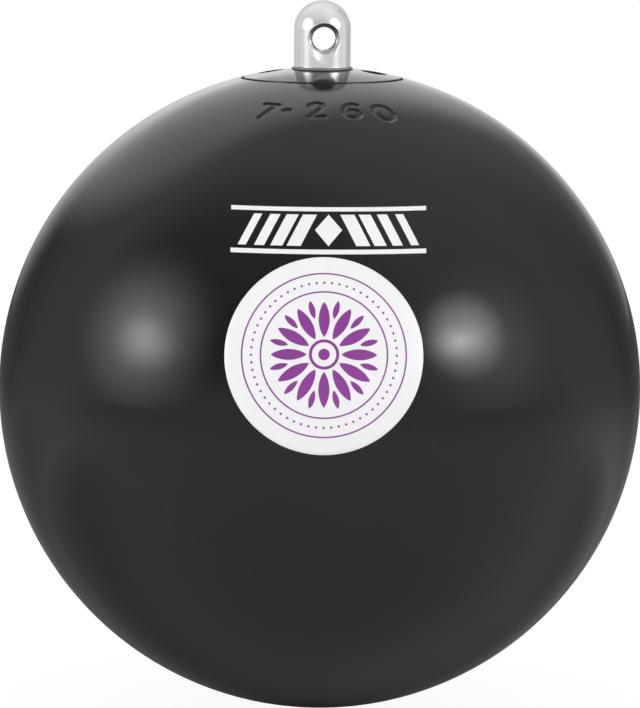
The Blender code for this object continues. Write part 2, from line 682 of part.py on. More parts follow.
def main():
    clear_scene()
    materials = make_materials()
    swivel_axis = make_axis("swivel_axis", WIRE_HOLE_Z)
    radial_cage_axis = make_axis("radial_cage_axis", RADIAL_MIDDLE)
    thrust_cage_axis = make_axis("thrust_cage_axis", THRUST_MIDDLE)

    make_head_body(materials)
    make_bearing_housing(materials)
    make_dust_seal(materials)
    make_radial_races(materials, swivel_axis)
    make_shield("upper_shield", 1, materials)
    make_shield("lower_shield", -1, materials)
    make_bearing_spacer(materials)
    make_thrust_washer(
        "thrust_housing_washer",
        1,
        SHAFT_RADIUS + RUNNING_GAP,
        BEARING_RADIUS,
        materials,
    )

    make_swivel_spindle(materials, swivel_axis)
    make_thrust_washer(
        "thrust_shaft_washer",
        -1,
        RACE_BORE_RADIUS,
        BEARING_RADIUS - RUNNING_GAP,
        materials,
        swivel_axis,
    )
    make_nut_washer(materials, swivel_axis)
    make_castle_nut(materials, swivel_axis)
    make_split_pin(materials, swivel_axis)

    make_ribbon_half("ribbon_cage_upper", 1, materials, radial_cage_axis)
    make_ribbon_half("ribbon_cage_lower", -1, materials, radial_cage_axis)
    make_balls("radial_ball", RADIAL_BALL_COUNT, RADIAL_MIDDLE, materials, radial_cage_axis)
    make_thrust_cage(materials, thrust_cage_axis)
    make_balls("thrust_ball", THRUST_BALL_COUNT, THRUST_MIDDLE, materials, thrust_cage_axis)


main()
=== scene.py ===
"""Looks of a throwing hammer's head: a lacquered steel ball with a chromed swivel eye.

Lengths are in metres unless a name ends in _MM, and angles written as numbers are in degrees.
The ball stands on z = 0, the swivel turns about +Z, and the front faces -Y.  A place on the ball
is an azimuth, from -Y towards +X, and a polar angle, from the top down.
"""

import math

import bmesh
import bpy
import numpy as np
from mathutils import Matrix, Quaternion, Vector


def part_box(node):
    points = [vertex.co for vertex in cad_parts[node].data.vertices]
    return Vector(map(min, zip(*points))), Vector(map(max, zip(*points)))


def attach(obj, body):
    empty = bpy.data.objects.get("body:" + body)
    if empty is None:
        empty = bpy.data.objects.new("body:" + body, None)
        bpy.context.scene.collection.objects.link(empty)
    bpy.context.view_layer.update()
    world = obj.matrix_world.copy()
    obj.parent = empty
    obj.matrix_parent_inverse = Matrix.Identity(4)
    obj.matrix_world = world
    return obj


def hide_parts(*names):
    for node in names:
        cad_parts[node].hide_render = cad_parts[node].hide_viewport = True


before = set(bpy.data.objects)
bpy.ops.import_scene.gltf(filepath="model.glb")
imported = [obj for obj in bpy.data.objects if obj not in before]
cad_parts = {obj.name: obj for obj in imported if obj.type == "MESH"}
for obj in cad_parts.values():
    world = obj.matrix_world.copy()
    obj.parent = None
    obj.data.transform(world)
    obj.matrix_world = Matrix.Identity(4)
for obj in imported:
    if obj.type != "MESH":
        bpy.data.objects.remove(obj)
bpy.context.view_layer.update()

MM = 0.001

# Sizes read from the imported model
HEAD_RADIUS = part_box("head_body")[1].x
CAP_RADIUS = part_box("bearing_housing")[1].x
SKIRT_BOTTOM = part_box("bearing_housing")[0].z
EYE_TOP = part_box("swivel_spindle")[1].z
SHAFT_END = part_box("swivel_spindle")[0].z
COLLAR_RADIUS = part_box("swivel_spindle")[1].x
BEARING_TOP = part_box("radial_outer_race")[1].z
SPLIT_PIN_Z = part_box("castle_nut")[0].z + 1.5 * MM

# Sizes of the ball's bore and of the housing, as in the part's source
CENTRE = Vector((0, 0, HEAD_RADIUS))
SEAM_GAP = 0.5 * MM
FIT_GAP = 0.1 * MM
MOUTH_ROUNDING = 0.25 * MM
CAP_RIM_HEIGHT = 3.2 * MM
CAP_ROUNDING = 0.25 * MM
THREAD_RADIUS = 13 * MM
POCKET_RADIUS = 11.1 * MM
CHAMBER_RADIUS = 11.6 * MM
CHAMBER_CLEARANCE = 1 * MM
DRILL_POINT_SLOPE = math.tan(math.radians(59))
NECK_BORE_RADIUS = 5.2 * MM
CEILING_RELIEF = 0.5 * MM
SEAL_GROOVE_RADIUS = 6.6 * MM
SEAL_GROOVE_HALF = 0.8 * MM
SPANNER_HOLE_RADIUS = 2.1 * MM
SPANNER_PITCH_RADIUS = 9.9 * MM
SPANNER_HOLE_BOTTOM = 114.4 * MM
SPANNER_HOLE_ANGLE = -6

# The recess over the bearing's shield, 0.5 mm larger in radius than in the part's source
SHIELD_RECESS_RADIUS = 10.2 * MM

# Sizes of the swivel spindle, as in the part's source
EYE_RADIUS = 5.3 * MM
NECK_RADIUS = 5 * MM
SHAFT_RADIUS = 4 * MM
SHAFT_CHAMFER = 0.6 * MM
WIRE_HOLE_Z = 125.6 * MM
WIRE_HOLE_RADIUS = 2.15 * MM
WIRE_HOLE_TURN = 4
SPLIT_PIN_HOLE_RADIUS = 1 * MM

# Sizes of the collar and of the wire hole, where they differ a little from the part's source, as
# the photograph shows them
COLLAR_HEIGHT = 0.5 * MM
COLLAR_LIFT = 0.05 * MM
COLLAR_RIM = 0.07 * MM
WIRE_HOLE_REAR_RADIUS = 2.7 * MM
MOUTH_RADIUS = 3.03 * MM
MOUTH_DEPTH = 1.05 * MM
MOUTH_BEVEL = 1.5
SCOOP_WIDTH = 2.5 * MM
SCOOP_DEPTH = 1.1 * MM
SCOOP_NARROWNESS = 7
SCOOP_FULLNESS = 0.9

# The camera, at the photograph's angle
VIEW_ELEVATION = 7.4
VIEW_DISTANCE = 1.0
VIEW_ROLL = 0.45
AIM_HEIGHT = 66.25 * MM
LENS_MM = 300
SENSOR_MM = 36


def dome_height(radius):
    """Height of the ball's surface at this distance from the swivel's axis."""
    return HEAD_RADIUS + math.sqrt(HEAD_RADIUS**2 - radius**2)


def collar_heights():
    """Bottom and top of the eye's collar, close over the ball."""
    bottom = dome_height(COLLAR_RADIUS) + COLLAR_LIFT
    return bottom, bottom + COLLAR_HEIGHT


def ball_direction(azimuth, polar):
    """Unit vector from the ball's centre to a place on it."""
    azimuth = math.radians(azimuth)
    polar = math.radians(polar)
    across = math.sin(polar)
    return Vector((across * math.sin(azimuth), -across * math.cos(azimuth), math.cos(polar)))


def ball_axes(azimuth, polar):
    """Directions to the right, up and outward at a place on the ball."""
    outward = ball_direction(azimuth, polar)
    right = Vector((0, 0, 1)).cross(outward).normalized()
    return right, outward.cross(right), outward


# Mesh making

SHARP_ANGLE = 35
EDGE_ROUNDING = 0.1 * MM


def finished_mesh(name, verts, faces, sharp_angle=SHARP_ANGLE):
    mesh = bpy.data.meshes.new(name)
    mesh.from_pydata([tuple(v) for v in verts], [], faces)
    tidy_mesh(mesh, sharp_angle)
    return mesh


def tidy_mesh(mesh, sharp_angle=SHARP_ANGLE):
    """Weld a mesh, turn its faces outward and keep only its real corners sharp."""
    bm = bmesh.new()
    bm.from_mesh(mesh)
    bmesh.ops.remove_doubles(bm, verts=bm.verts, dist=1e-7)
    bmesh.ops.dissolve_degenerate(bm, edges=bm.edges, dist=1e-7)
    bmesh.ops.recalc_face_normals(bm, faces=bm.faces)
    bm.to_mesh(mesh)
    bm.free()
    mesh.shade_smooth()
    mesh.set_sharp_from_angle(angle=math.radians(sharp_angle))


def link(name, data):
    """Put an object with this mesh, lamp or camera into the scene."""
    thing = bpy.data.objects.new(name, data)
    bpy.context.scene.collection.objects.link(thing)
    return thing


def even_azimuths(count):
    return [360 * step / count for step in range(count)]


def evenly(start, end, steps):
    """Values from start to end in even steps, with both ends."""
    return [start + (end - start) * step / steps for step in range(steps + 1)]


def on_circle(radius, angle, base=0):
    """A point of an outline on a circle about the axis at base, by its angle from the top down."""
    angle = math.radians(angle)
    return radius * math.sin(angle), base + radius * math.cos(angle)


def graded(start, end, first_step, last_step, growth=1.18):
    """Values after start up to end, whose spacing grows gently from one step to another."""
    offsets = []
    step = first_step
    reach = 0
    while reach < abs(end - start):
        reach += step
        offsets.append(reach)
        step = min(last_step, step * growth)
    scale = (end - start) / reach
    return [start + offset * scale for offset in offsets]


def rounded(corners, steps=4, closed=False):
    """An outline of (radius, height, rounding) corners, each turned into a short arc."""
    points = []
    count = len(corners)
    for index, corner in enumerate(corners):
        at = Vector(corner[:2])
        rounding = corner[2] if len(corner) > 2 else 0
        inner = closed or 0 < index < count - 1
        if not rounding or not inner:
            points.append(tuple(at))
            continue
        to_last = (Vector(corners[index - 1][:2]) - at).normalized()
        to_next = (Vector(corners[(index + 1) % count][:2]) - at).normalized()
        half = to_last.angle(to_next) / 2
        middle = at + (to_last + to_next).normalized() * rounding / math.sin(half)
        first = (at + to_last * rounding / math.tan(half) - middle).normalized()
        last = (at + to_next * rounding / math.tan(half) - middle).normalized()
        for share in evenly(0, 1, steps):
            points.append(tuple(middle + first.slerp(last, share) * rounding))
    return points


def bridged(loop, following):
    """Quads between two closed loops of vertices."""
    return list(zip(loop, loop[1:] + loop[:1], following[1:] + following[:1], following))


def turned_shape(outline, azimuths, place=None):
    """Vertices and faces of an outline of (radius, height) points turned about Z.

    An outline that starts on the axis also ends there and is a solid, and any other is a ring.
    """
    solid = outline[0][0] == 0
    rows = outline[1:-1] if solid else outline
    angles = [math.radians(azimuth) for azimuth in azimuths]
    verts = [
        Vector((radius * math.sin(angle), -radius * math.cos(angle), height))
        for radius, height in rows
        for angle in angles
    ]
    columns = len(angles)
    loops = [list(range(start, start + columns)) for start in range(0, len(verts), columns)]
    nexts = loops[1:] if solid else loops[1:] + loops[:1]
    faces = [quad for pair in zip(loops, nexts) for quad in bridged(*pair)]
    if solid:
        pole = len(verts)
        verts += [Vector((0, 0, outline[0][1])), Vector((0, 0, outline[-1][1]))]
        for first, first_next, last_next, last in bridged(loops[0], loops[-1]):
            faces += [(pole, first_next, first), (last, last_next, pole + 1)]
    if place:
        verts = [place @ vert for vert in verts]
    return verts, faces


def turned(name, outline, azimuths, place=None, sharp_angle=SHARP_ANGLE):
    return finished_mesh(name, *turned_shape(outline, azimuths, place), sharp_angle)


def sheet_shape(grid, lift):
    """Vertices and faces of a thin closed sheet from a grid of places on the ball.

    The grid holds outward unit vectors, and lift gives the sheet's two heights over the ball.
    """
    rows = len(grid)
    columns = len(grid[0])
    count = rows * columns
    verts = []
    for height in lift:
        verts += [CENTRE + way * (HEAD_RADIUS + height) for row in grid for way in row]
    faces = []
    for row in range(rows - 1):
        for column in range(columns - 1):
            a = row * columns + column
            faces.append((a, a + 1, a + 1 + columns, a + columns))
            faces.append((count + a, count + a + columns, count + a + 1 + columns, count + a + 1))
    edge = list(range(columns))
    edge += [row * columns + columns - 1 for row in range(1, rows)]
    edge += [(rows - 1) * columns + column for column in range(columns - 2, -1, -1)]
    edge += [row * columns for row in range(rows - 2, 0, -1)]
    return verts, faces + bridged(edge, [count + index for index in edge])


def joined(name, shapes):
    """One mesh of several closed shapes."""
    verts = []
    faces = []
    for shape_verts, shape_faces in shapes:
        start = len(verts)
        verts += shape_verts
        faces += [tuple(start + index for index in face) for face in shape_faces]
    return finished_mesh(name, verts, faces)


def machined(thing, cutters):
    """Cut meshes out of a piece, and keep the result as its own mesh."""
    tools = [link(f"cutter_{index}", mesh) for index, mesh in enumerate(cutters)]
    for tool in tools:
        cut = thing.modifiers.new(tool.name, "BOOLEAN")
        cut.operation = "DIFFERENCE"
        cut.solver = "EXACT"
        cut.object = tool
    bpy.context.view_layer.update()
    graph = bpy.context.evaluated_depsgraph_get()
    thing.data = bpy.data.meshes.new_from_object(thing.evaluated_get(graph))
    thing.modifiers.clear()
    for tool in tools:
        bpy.data.objects.remove(tool)
    tidy_mesh(thing.data)


# Node helpers


def feed(socket, value):
    """Link a node's output to a socket, or write a plain value on it."""
    if isinstance(value, bpy.types.NodeSocket):
        socket.id_data.links.new(value, socket)
    else:
        socket.default_value = value


def add_node(tree, kind, inputs=None, **settings):
    """A shader node with its settings, and with values or outputs of other nodes on its inputs."""
    made = tree.nodes.new("ShaderNode" + kind)
    for name, value in settings.items():
        setattr(made, name, value)
    for name, value in (inputs or {}).items():
        feed(made.inputs[name], value)
    return made


def reckon(operation, a, b):
    """Arithmetic on a socket, in the node tree that the socket is in."""
    return add_node(a.id_data, "Math", {0: a, 1: b}, operation=operation).outputs[0]


def times(a, b):
    return reckon("MULTIPLY", a, b)


def plus(a, b):
    return reckon("ADD", a, b)


def minus(a, b):
    return reckon("SUBTRACT", a, b)


def length_of(vector):
    return add_node(vector.id_data, "VectorMath", {0: vector}, operation="LENGTH").outputs["Value"]


def xyz_of(vector):
    return add_node(vector.id_data, "SeparateXYZ", {"Vector": vector}).outputs


def vector_of(x, y, z):
    return add_node(x.id_data, "CombineXYZ", {"X": x, "Y": y, "Z": z}).outputs[0]


def grey(level):
    return (level, level, level, 1)


def blend_in(factor, a, b):
    """Colour a where the factor is 0 and b where it is 1."""
    return add_node(factor.id_data, "Mix", {0: factor, 6: a, 7: b}, data_type="RGBA").outputs[2]


def smooth_range(value, low, high, to_low=0.0, to_high=1.0, kind="SMOOTHSTEP"):
    """A value carried from one range to another, without going past its ends."""
    ends = {"Value": value, "From Min": low, "From Max": high, "To Min": to_low, "To Max": to_high}
    return add_node(value.id_data, "MapRange", ends, interpolation_type=kind).outputs[0]


def noise(vector, scale, detail=2.0, roughness=0.5):
    inputs = {"Vector": vector, "Scale": scale, "Detail": detail, "Roughness": roughness}
    return add_node(vector.id_data, "TexNoise", inputs).outputs[0]


def object_place(tree):
    return add_node(tree, "TexCoord").outputs["Object"]


def new_group(name, inputs, output, build):
    """A shader node group that puts out what a function makes of a place and of its inputs."""
    group = bpy.data.node_groups.new(name, "ShaderNodeTree")
    number = "NodeSocketFloat"
    for socket_name, value in inputs.items():
        socket = group.interface.new_socket(socket_name, in_out="INPUT", socket_type=number)
        socket.default_value = value
    group.interface.new_socket(output, in_out="OUTPUT", socket_type=number)
    given = group.nodes.new("NodeGroupInput").outputs
    result = group.nodes.new("NodeGroupOutput").inputs[output]
    feed(result, build(object_place(group), *(given[socket_name] for socket_name in inputs)))
    return group


def use_group(tree, group, **values):
    """Place an effect in a material with its own values, and give what it puts out."""
    made = tree.nodes.new("ShaderNodeGroup")
    made.node_tree = group
    for name, value in values.items():
        feed(made.inputs[name.replace("_", " ").capitalize()], value)
    return made.outputs[0]


def new_material(name):
    material = bpy.data.materials.new(name)
    material.use_nodes = True
    return material, material.node_tree, material.node_tree.nodes["Principled BSDF"]


def surfaced(shader, colour, roughness, height, depth):
    """Give a shader its colour, its roughness and a bump from a height that changes over it."""
    feed(shader.inputs["Base Color"], colour)
    feed(shader.inputs["Roughness"], roughness)
    bumps = {"Strength": 1.0, "Distance": depth, "Height": height}
    bump = add_node(shader.id_data, "Bump", bumps)
    feed(shader.inputs["Normal"], bump.outputs[0])


# Effects that finishes share, each made from a place on the piece

DUST_PATCH_SCALE = 90
GRAIN_PATCH_SCALE = 300


def lacquer_waves(place, swell_scale, ripple_scale, ripple_share):
    """The slow swell and the fine ripple of sprayed lacquer."""
    swell = noise(place, swell_scale, detail=1.0)
    return plus(swell, times(noise(place, ripple_scale), ripple_share))


def hand_smudges(place, smudge_scale):
    """Faint smudges from hands."""
    return smooth_range(noise(place, smudge_scale, detail=4.0, roughness=0.55), 0.45, 0.7)


def dust_specks(place, speck_scale, amount):
    """Sparse fine specks of dust, in patches."""
    cells = add_node(place.id_data, "TexVoronoi", {"Vector": place, "Scale": speck_scale})
    speck = smooth_range(cells.outputs["Distance"], 0.06, 0.16, 1.0, 0.0)
    patches = smooth_range(noise(place, DUST_PATCH_SCALE, detail=3.0), 0.5, 0.68)
    return times(times(speck, patches), amount)


def lathe_rings(place, lines_per_metre, break_up):
    """The fine rings that a lathe tool leaves round the Z axis."""
    parts = xyz_of(place)
    across = length_of(vector_of(parts["X"], parts["Y"], 0.0))
    lines = noise(vector_of(across, 0.0, parts["Z"]), lines_per_metre, roughness=0.6)
    return plus(lines, times(noise(place, GRAIN_PATCH_SCALE), break_up))


def soft_clouds(place, scale):
    """Soft unevenness of a coating or a casting."""
    return noise(place, scale, detail=4.0, roughness=0.6)


peel_inputs = {"Swell scale": 60, "Ripple scale": 500, "Ripple share": 0.3}
grain_inputs = {"Lines per metre": 9000, "Break up": 0.4}
orange_peel = new_group("orange_peel", peel_inputs, "Height", lacquer_waves)
handling_marks = new_group("handling_marks", {"Smudge scale": 25}, "Marks", hand_smudges)
dust = new_group("dust", {"Speck scale": 700, "Amount": 0.3}, "Specks", dust_specks)
turned_grain = new_group("turned_grain", grain_inputs, "Grain", lathe_rings)
mottle = new_group("mottle", {"Scale": 120}, "Mottle", soft_clouds)


# Finishes

# Each metal: its light and its dark colour, its range of roughness, its tool marks per metre and
# their depth, and the scale of its blotches where it isn't the usual one
METALS = {
    "polished_chrome": ((0.92, 0.92, 0.93), (0.87, 0.87, 0.88), (0.10, 0.16), 4000, 0.0004 * MM),
    "ground_steel": ((0.62, 0.63, 0.65), (0.52, 0.53, 0.55), (0.14, 0.24), 9000, 0.002 * MM),
    "ball_steel": ((0.66, 0.67, 0.69), (0.60, 0.61, 0.63), (0.05, 0.09), 900, 0.0001 * MM),
    "pressed_steel": ((0.55, 0.55, 0.56), (0.43, 0.43, 0.44), (0.28, 0.42), 2500, 0.003 * MM),
    "cage_brass": ((0.80, 0.62, 0.31), (0.66, 0.48, 0.22), (0.24, 0.38), 7000, 0.003 * MM),
    "zinc_plate": ((0.66, 0.68, 0.70), (0.50, 0.52, 0.53), (0.32, 0.48), 3000, 0.004 * MM, 400),
}

# Each print: its thin and its full colour, its range of roughness and the depth of its skin
PRINTS = {
    "label_vinyl": ((0.86, 0.86, 0.87), (0.91, 0.91, 0.92), (0.32, 0.42), 0.001 * MM),
    "label_ink": ((0.24, 0.038, 0.275), (0.30, 0.052, 0.34), (0.30, 0.40), 0.001 * MM),
    "band_ink": ((0.85, 0.85, 0.86), (0.92, 0.92, 0.93), (0.30, 0.42), 0.0015 * MM),
}

# Each lacquer: the scale of its slow swell and the depth of its orange peel
LACQUERS = {"head_lacquer": (55, 0.0022 * MM), "housing_lacquer": (80, 0.0016 * MM)}
LACQUER_BLACKS = ((0.0078, 0.0078, 0.0083), (0.0118, 0.0118, 0.0123))
LACQUER_ROUGHNESS = (0.085, 0.125)
LACQUER_IOR = 1.38

# Dark and dull places on the eye: duller plating and painted shade in the wire hole's mouth,
# duller plating in the scoop below it (where heights count for only a share of what they are), and
# painted shade and duller plating at the collar's foot, ending between two distances below its top
MOUTH_EDGE = 0.3 * MM
MOUTH_SHADE_COLOUR = grey(0.5)
SCOOP_SHARE = 0.66
SCOOP_DULLNESS = 0.22
COLLAR_SHADE_DROPS = (0.32 * MM, 0.2 * MM)
COLLAR_SHADE_SCALE = 450
COLLAR_SHADE_UNEVENNESS = 0.5 * MM
COLLAR_SHADE_COLOUR = grey(0.28)
COLLAR_FOOT_DULLNESS = 0.25


def uneven(name, first, second, roughness, blotch_scale, smudge_scale):
    """A new material, with a colour that is blotched and a roughness that smudges change."""
    material, tree, shader = new_material(name)
    colour = blend_in(use_group(tree, mottle, scale=blotch_scale), (*first, 1), (*second, 1))
    marks = use_group(tree, handling_marks, smudge_scale=smudge_scale)
    return material, tree, shader, colour, smooth_range(marks, 0, 1, *roughness)


def black_lacquer(name, swell_scale, peel_depth):
    """Deep black sprayed lacquer: smooth and glossy, with a trace of dust and smudges."""
    scales = {"blotch_scale": 45, "smudge_scale": 22}
    material, tree, shader, deep, gloss = uneven(name, *LACQUER_BLACKS, LACQUER_ROUGHNESS, **scales)
    shader.inputs["IOR"].default_value = LACQUER_IOR
    dusty = blend_in(use_group(tree, dust, speck_scale=420, amount=0.35), deep, grey(0.05))
    waves = {"swell_scale": swell_scale, "ripple_scale": 420, "ripple_share": 0.25}
    peel = use_group(tree, orange_peel, **waves)
    surfaced(shader, dusty, gloss, peel, peel_depth)
    return material


def metal(name, light, dark, roughness, lines_per_metre, grain_depth, blotch_scale=140):
    """A turned or pressed metal: its colour, its gloss and the tool marks in it."""
    scales = {"blotch_scale": blotch_scale, "smudge_scale": 120}
    material, tree, shader, colour, gloss = uneven(name, dark, light, roughness, **scales)
    shader.inputs["Metallic"].default_value = 1.0
    grain = use_group(tree, turned_grain, lines_per_metre=lines_per_metre, break_up=0.4)
    surfaced(shader, colour, gloss, grain, grain_depth)
    return material


def print_finish(name, thin, full, roughness, grain_depth):
    """Ink or vinyl: a flat bright colour that is a little uneven when seen close."""
    scales = {"blotch_scale": 260, "smudge_scale": 60}
    material, tree, shader, colour, gloss = uneven(name, thin, full, roughness, **scales)
    skin = use_group(tree, orange_peel, swell_scale=200, ripple_scale=1600, ripple_share=0.5)
    surfaced(shader, colour, gloss, skin, grain_depth)
    return material


def seal_rubber(name):
    """Matt black rubber with a pale bloom and dust."""
    material, tree, shader = new_material(name)
    bloom = use_group(tree, mottle, scale=900)
    body = blend_in(bloom, grey(0.014), (0.03, 0.03, 0.029, 1))
    specks = use_group(tree, dust, speck_scale=1500, amount=0.5)
    colour = blend_in(specks, body, (0.12, 0.12, 0.11, 1))
    surfaced(shader, colour, smooth_range(bloom, 0.3, 0.7, 0.6, 0.8), bloom, 0.02 * MM)
    return material


def within_mouth(x, rise):
    """1 within the wire hole's mouth and 0 outside it, from distances across and above its axis."""
    reach = length_of(vector_of(x, 0.0, rise))
    return smooth_range(reach, MOUTH_RADIUS - MOUTH_EDGE, MOUTH_RADIUS, 1.0, 0.0)


def shade_and_dull_chrome(material):
    """Dull the eye's plating in the hole, scoop and collar's foot, and paint shade in the mouth and
    foot.
    """
    tree = material.node_tree
    shader = tree.nodes["Principled BSDF"]
    turned_back = {"Vector": object_place(tree), "Rotation": (0, 0, math.radians(-WIRE_HOLE_TURN))}
    parts = xyz_of(add_node(tree, "Mapping", turned_back).outputs[0])
    rise = minus(parts["Z"], WIRE_HOLE_Z)
    scoop_rise = reckon("MAXIMUM", rise, times(rise, SCOOP_SHARE))
    inside = within_mouth(parts["X"], rise)
    scooped = within_mouth(parts["X"], scoop_rise)
    # Painted shade at the collar's foot and below it, close over the ball, where the plating is
    # also made duller
    edge = times(noise(object_place(tree), COLLAR_SHADE_SCALE), COLLAR_SHADE_UNEVENNESS)
    full, end = (collar_heights()[1] - drop for drop in COLLAR_SHADE_DROPS)
    collar_shade = smooth_range(minus(parts["Z"], edge), full, end, 1.0, 0.0)
    colour = shader.inputs["Base Color"].links[0].from_socket
    # Painted shade inside the wire hole's mouth
    colour = blend_in(inside, colour, MOUTH_SHADE_COLOUR)
    feed(shader.inputs["Base Color"], blend_in(collar_shade, colour, COLLAR_SHADE_COLOUR))
    gloss = shader.inputs["Roughness"].links[0].from_socket
    gloss = plus(gloss, times(scooped, SCOOP_DULLNESS))
    feed(shader.inputs["Roughness"], plus(gloss, times(collar_shade, COLLAR_FOOT_DULLNESS)))


FINISHES = {name: metal(name, *values) for name, values in METALS.items()}
FINISHES |= {name: print_finish(name, *values) for name, values in PRINTS.items()}
FINISHES |= {name: black_lacquer(name, *values) for name, values in LACQUERS.items()}
FINISHES["seal_rubber"] = seal_rubber("seal_rubber")
shade_and_dull_chrome(FINISHES["polished_chrome"])


def coat(thing, finish):
    """Give a piece one finish in place of any that it has."""
    thing.data.materials.clear()
    thing.data.materials.append(FINISHES[finish])


def dress(thing, body, finish, slot, *nodes):
    """Give a new piece its finish and its body, and hide the nodes that it stands for; slot is not
    used.
    """
    coat(thing, finish)
    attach(thing, body)
    if nodes:
        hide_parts(*nodes)


# The ball

# Strokes of the stamped figures, in millimetres from each figure's middle
FIGURES = {
    "7": [[(-1.35, 2.4), (1.3, 2.4), (0.35, 0.2), (-0.35, -2.4)]],
    "dot": [[(-0.25, 0.0), (0.25, 0.0)]],
    "2": [
        [(-1.25, 1.35), (-0.95, 2.1), (-0.1, 2.5), (0.85, 2.15), (1.2, 1.35), (0.9, 0.4)],
        [(0.9, 0.4), (-0.2, -1.1), (-1.3, -2.4), (1.4, -2.4)],
    ],
    "6": [
        [(1.1, 2.1), (0.3, 2.45), (-0.7, 1.9), (-1.3, 0.5), (-1.4, -0.9), (-0.9, -2.1)],
        [(-0.9, -2.1), (0.0, -2.5), (1.0, -2.1), (1.35, -1.1), (1.0, -0.1), (0.1, 0.3)],
        [(0.1, 0.3), (-0.8, 0.0), (-1.3, -0.7)],
    ],
    "0": [
        [(0.0, 2.55), (1.05, 2.0), (1.5, 0.7), (1.5, -0.7), (1.05, -2.0), (0.0, -2.55)],
        [(0.0, -2.55), (-1.05, -2.0), (-1.5, -0.7), (-1.5, 0.7), (-1.05, 2.0), (0.0, 2.55)],
    ],
}

# Each stamped figure: its strokes, azimuth, polar angle, lean and its stroke's half width
STAMPED_ROW = [
    ("7", -22.1, 26.4, 4, 0.75),
    ("dot", -13.9, 26.05, 0, 1.05),
    ("2", -2.2, 25.6, -2, 0.75),
    ("6", 11.9, 25.9, 3, 0.75),
    ("0", 24.5, 26.8, -5, 0.78),
]
STAMP_DEPTH = 0.30 * MM
STAMP_WALL_SHARE = 0.75
STAMP_AZIMUTHS = (-31, 34)
STAMP_POLARS = (22.2, 31)
STAMP_STEP_MM = 0.13
STAMP_REACH_MM = 5
STAMP_MIDDLE_POLAR = 26

# Widest steps of the ball's mesh in degrees: round its back, up to its mouth and down to its foot
BACK_STEP = 2.2
MOUTH_STEP = 1.0
FOOT_STEP = 1.8


def stroke_distance(points, stroke):
    """Distance in the stamp's plane from each point to a line through the stroke's points."""
    nearest = np.full(len(points), 1e9)
    for start, end in zip(stroke, stroke[1:]):
        start = np.array(start)
        along = np.array(end) - start
        share = np.clip((points - start) @ along / (along @ along), 0, 1)
        gap = points - start - share[:, None] * along
        nearest = np.minimum(nearest, np.hypot(gap[:, 0], gap[:, 1]))
    return nearest


def stamp_figures(mesh):
    """Press the row of figures into the ball's surface."""
    count = len(mesh.vertices)
    flat = np.zeros(count * 3)
    mesh.vertices.foreach_get("co", flat)
    points = flat.reshape(-1, 3)
    ways = points - np.array(CENTRE)
    outside = np.abs(np.linalg.norm(ways, axis=1) - HEAD_RADIUS) < 0.01 * MM
    depth = np.zeros(count)
    for figure, azimuth, polar, lean, half_width in STAMPED_ROW:
        right, up, outward = (np.array(axis) for axis in ball_axes(azimuth, polar))
        turn = math.radians(lean)
        level = right * math.cos(turn) - up * math.sin(turn)
        rise = up * math.cos(turn) + right * math.sin(turn)
        plane = np.stack([ways @ level, ways @ rise], axis=1) / MM
        close = np.hypot(plane[:, 0], plane[:, 1]) < STAMP_REACH_MM
        near = outside & (ways @ outward > 0) & close
        for stroke in FIGURES[figure]:
            share = (1 - stroke_distance(plane[near], stroke) / half_width) / STAMP_WALL_SHARE
            share = np.clip(share, 0, 1)
            pressed = share**2 * (3 - 2 * share)
            depth[near] = np.maximum(depth[near], pressed * STAMP_DEPTH)
    points -= ways / HEAD_RADIUS * depth[:, None]
    mesh.vertices.foreach_set("co", points.ravel())
    mesh.update()


def ball_azimuths():
    """Columns round the ball, fine where the figures are stamped."""
    low, high = STAMP_AZIMUTHS
    row_radius = HEAD_RADIUS * math.sin(math.radians(STAMP_MIDDLE_POLAR))
    fine = math.degrees(STAMP_STEP_MM * MM / row_radius)
    middle = evenly(low, high, round((high - low) / fine))
    back = (low + high) / 2 + 180
    right = graded(high, back, fine, BACK_STEP)
    left = graded(low + 360, back, fine, BACK_STEP)
    return middle + right + left[-2::-1]


def ball_polars(start):
    """Rows from the mouth down to the lowest point, fine where the figures are stamped."""
    low, high = STAMP_POLARS
    fine = math.degrees(STAMP_STEP_MM * MM / HEAD_RADIUS)
    upper = graded(low, start, fine, MOUTH_STEP)
    middle = evenly(low, high, round((high - low) / fine))
    return upper[::-1] + middle + graded(high, 180, fine, FOOT_STEP)


def make_ball():
    """The lacquered ball, bored for the housing, with its stamped figures."""
    mouth = CAP_RADIUS + SEAM_GAP
    thread_bore = THREAD_RADIUS + FIT_GAP
    seat = dome_height(CAP_RADIUS) - CAP_RIM_HEIGHT - FIT_GAP
    thread_end = SKIRT_BOTTOM - CHAMBER_CLEARANCE
    chamber_end = SHAFT_END - CHAMBER_CLEARANCE
    first = math.degrees(math.asin((mouth + MOUTH_ROUNDING) / HEAD_RADIUS))
    surface = [on_circle(HEAD_RADIUS, polar, HEAD_RADIUS) for polar in ball_polars(first)]
    surface[-1] = (0, 0)
    bore = [
        surface[0],
        (mouth, dome_height(mouth), MOUTH_ROUNDING),
        (mouth, seat, EDGE_ROUNDING),
        (thread_bore, seat, EDGE_ROUNDING),
        (thread_bore, thread_end),
        (CHAMBER_RADIUS, thread_end),
        (CHAMBER_RADIUS, chamber_end, 4 * EDGE_ROUNDING),
        (0, chamber_end - CHAMBER_RADIUS / DRILL_POINT_SLOPE),
    ]
    mesh = turned("ball_shell", surface[::-1] + rounded(bore)[1:], ball_azimuths())
    stamp_figures(mesh)
    dress(link("ball_shell", mesh), "head", "head_lacquer", "head_paint", "head_body")


# The screwed housing

HOUSING_COLUMNS = 160
DOME_STEPS = 24
SKIRT_ROUNDING = 0.25 * MM
SPANNER_COLUMNS = 48
SPANNER_FLOOR_CHAMFER = 0.2 * MM
SPANNER_FLARE_DEPTH = 0.5 * MM
SPANNER_FLARE_WIDTH = 0.9 * MM
SPANNER_FLARE_RISE = 0.8 * MM


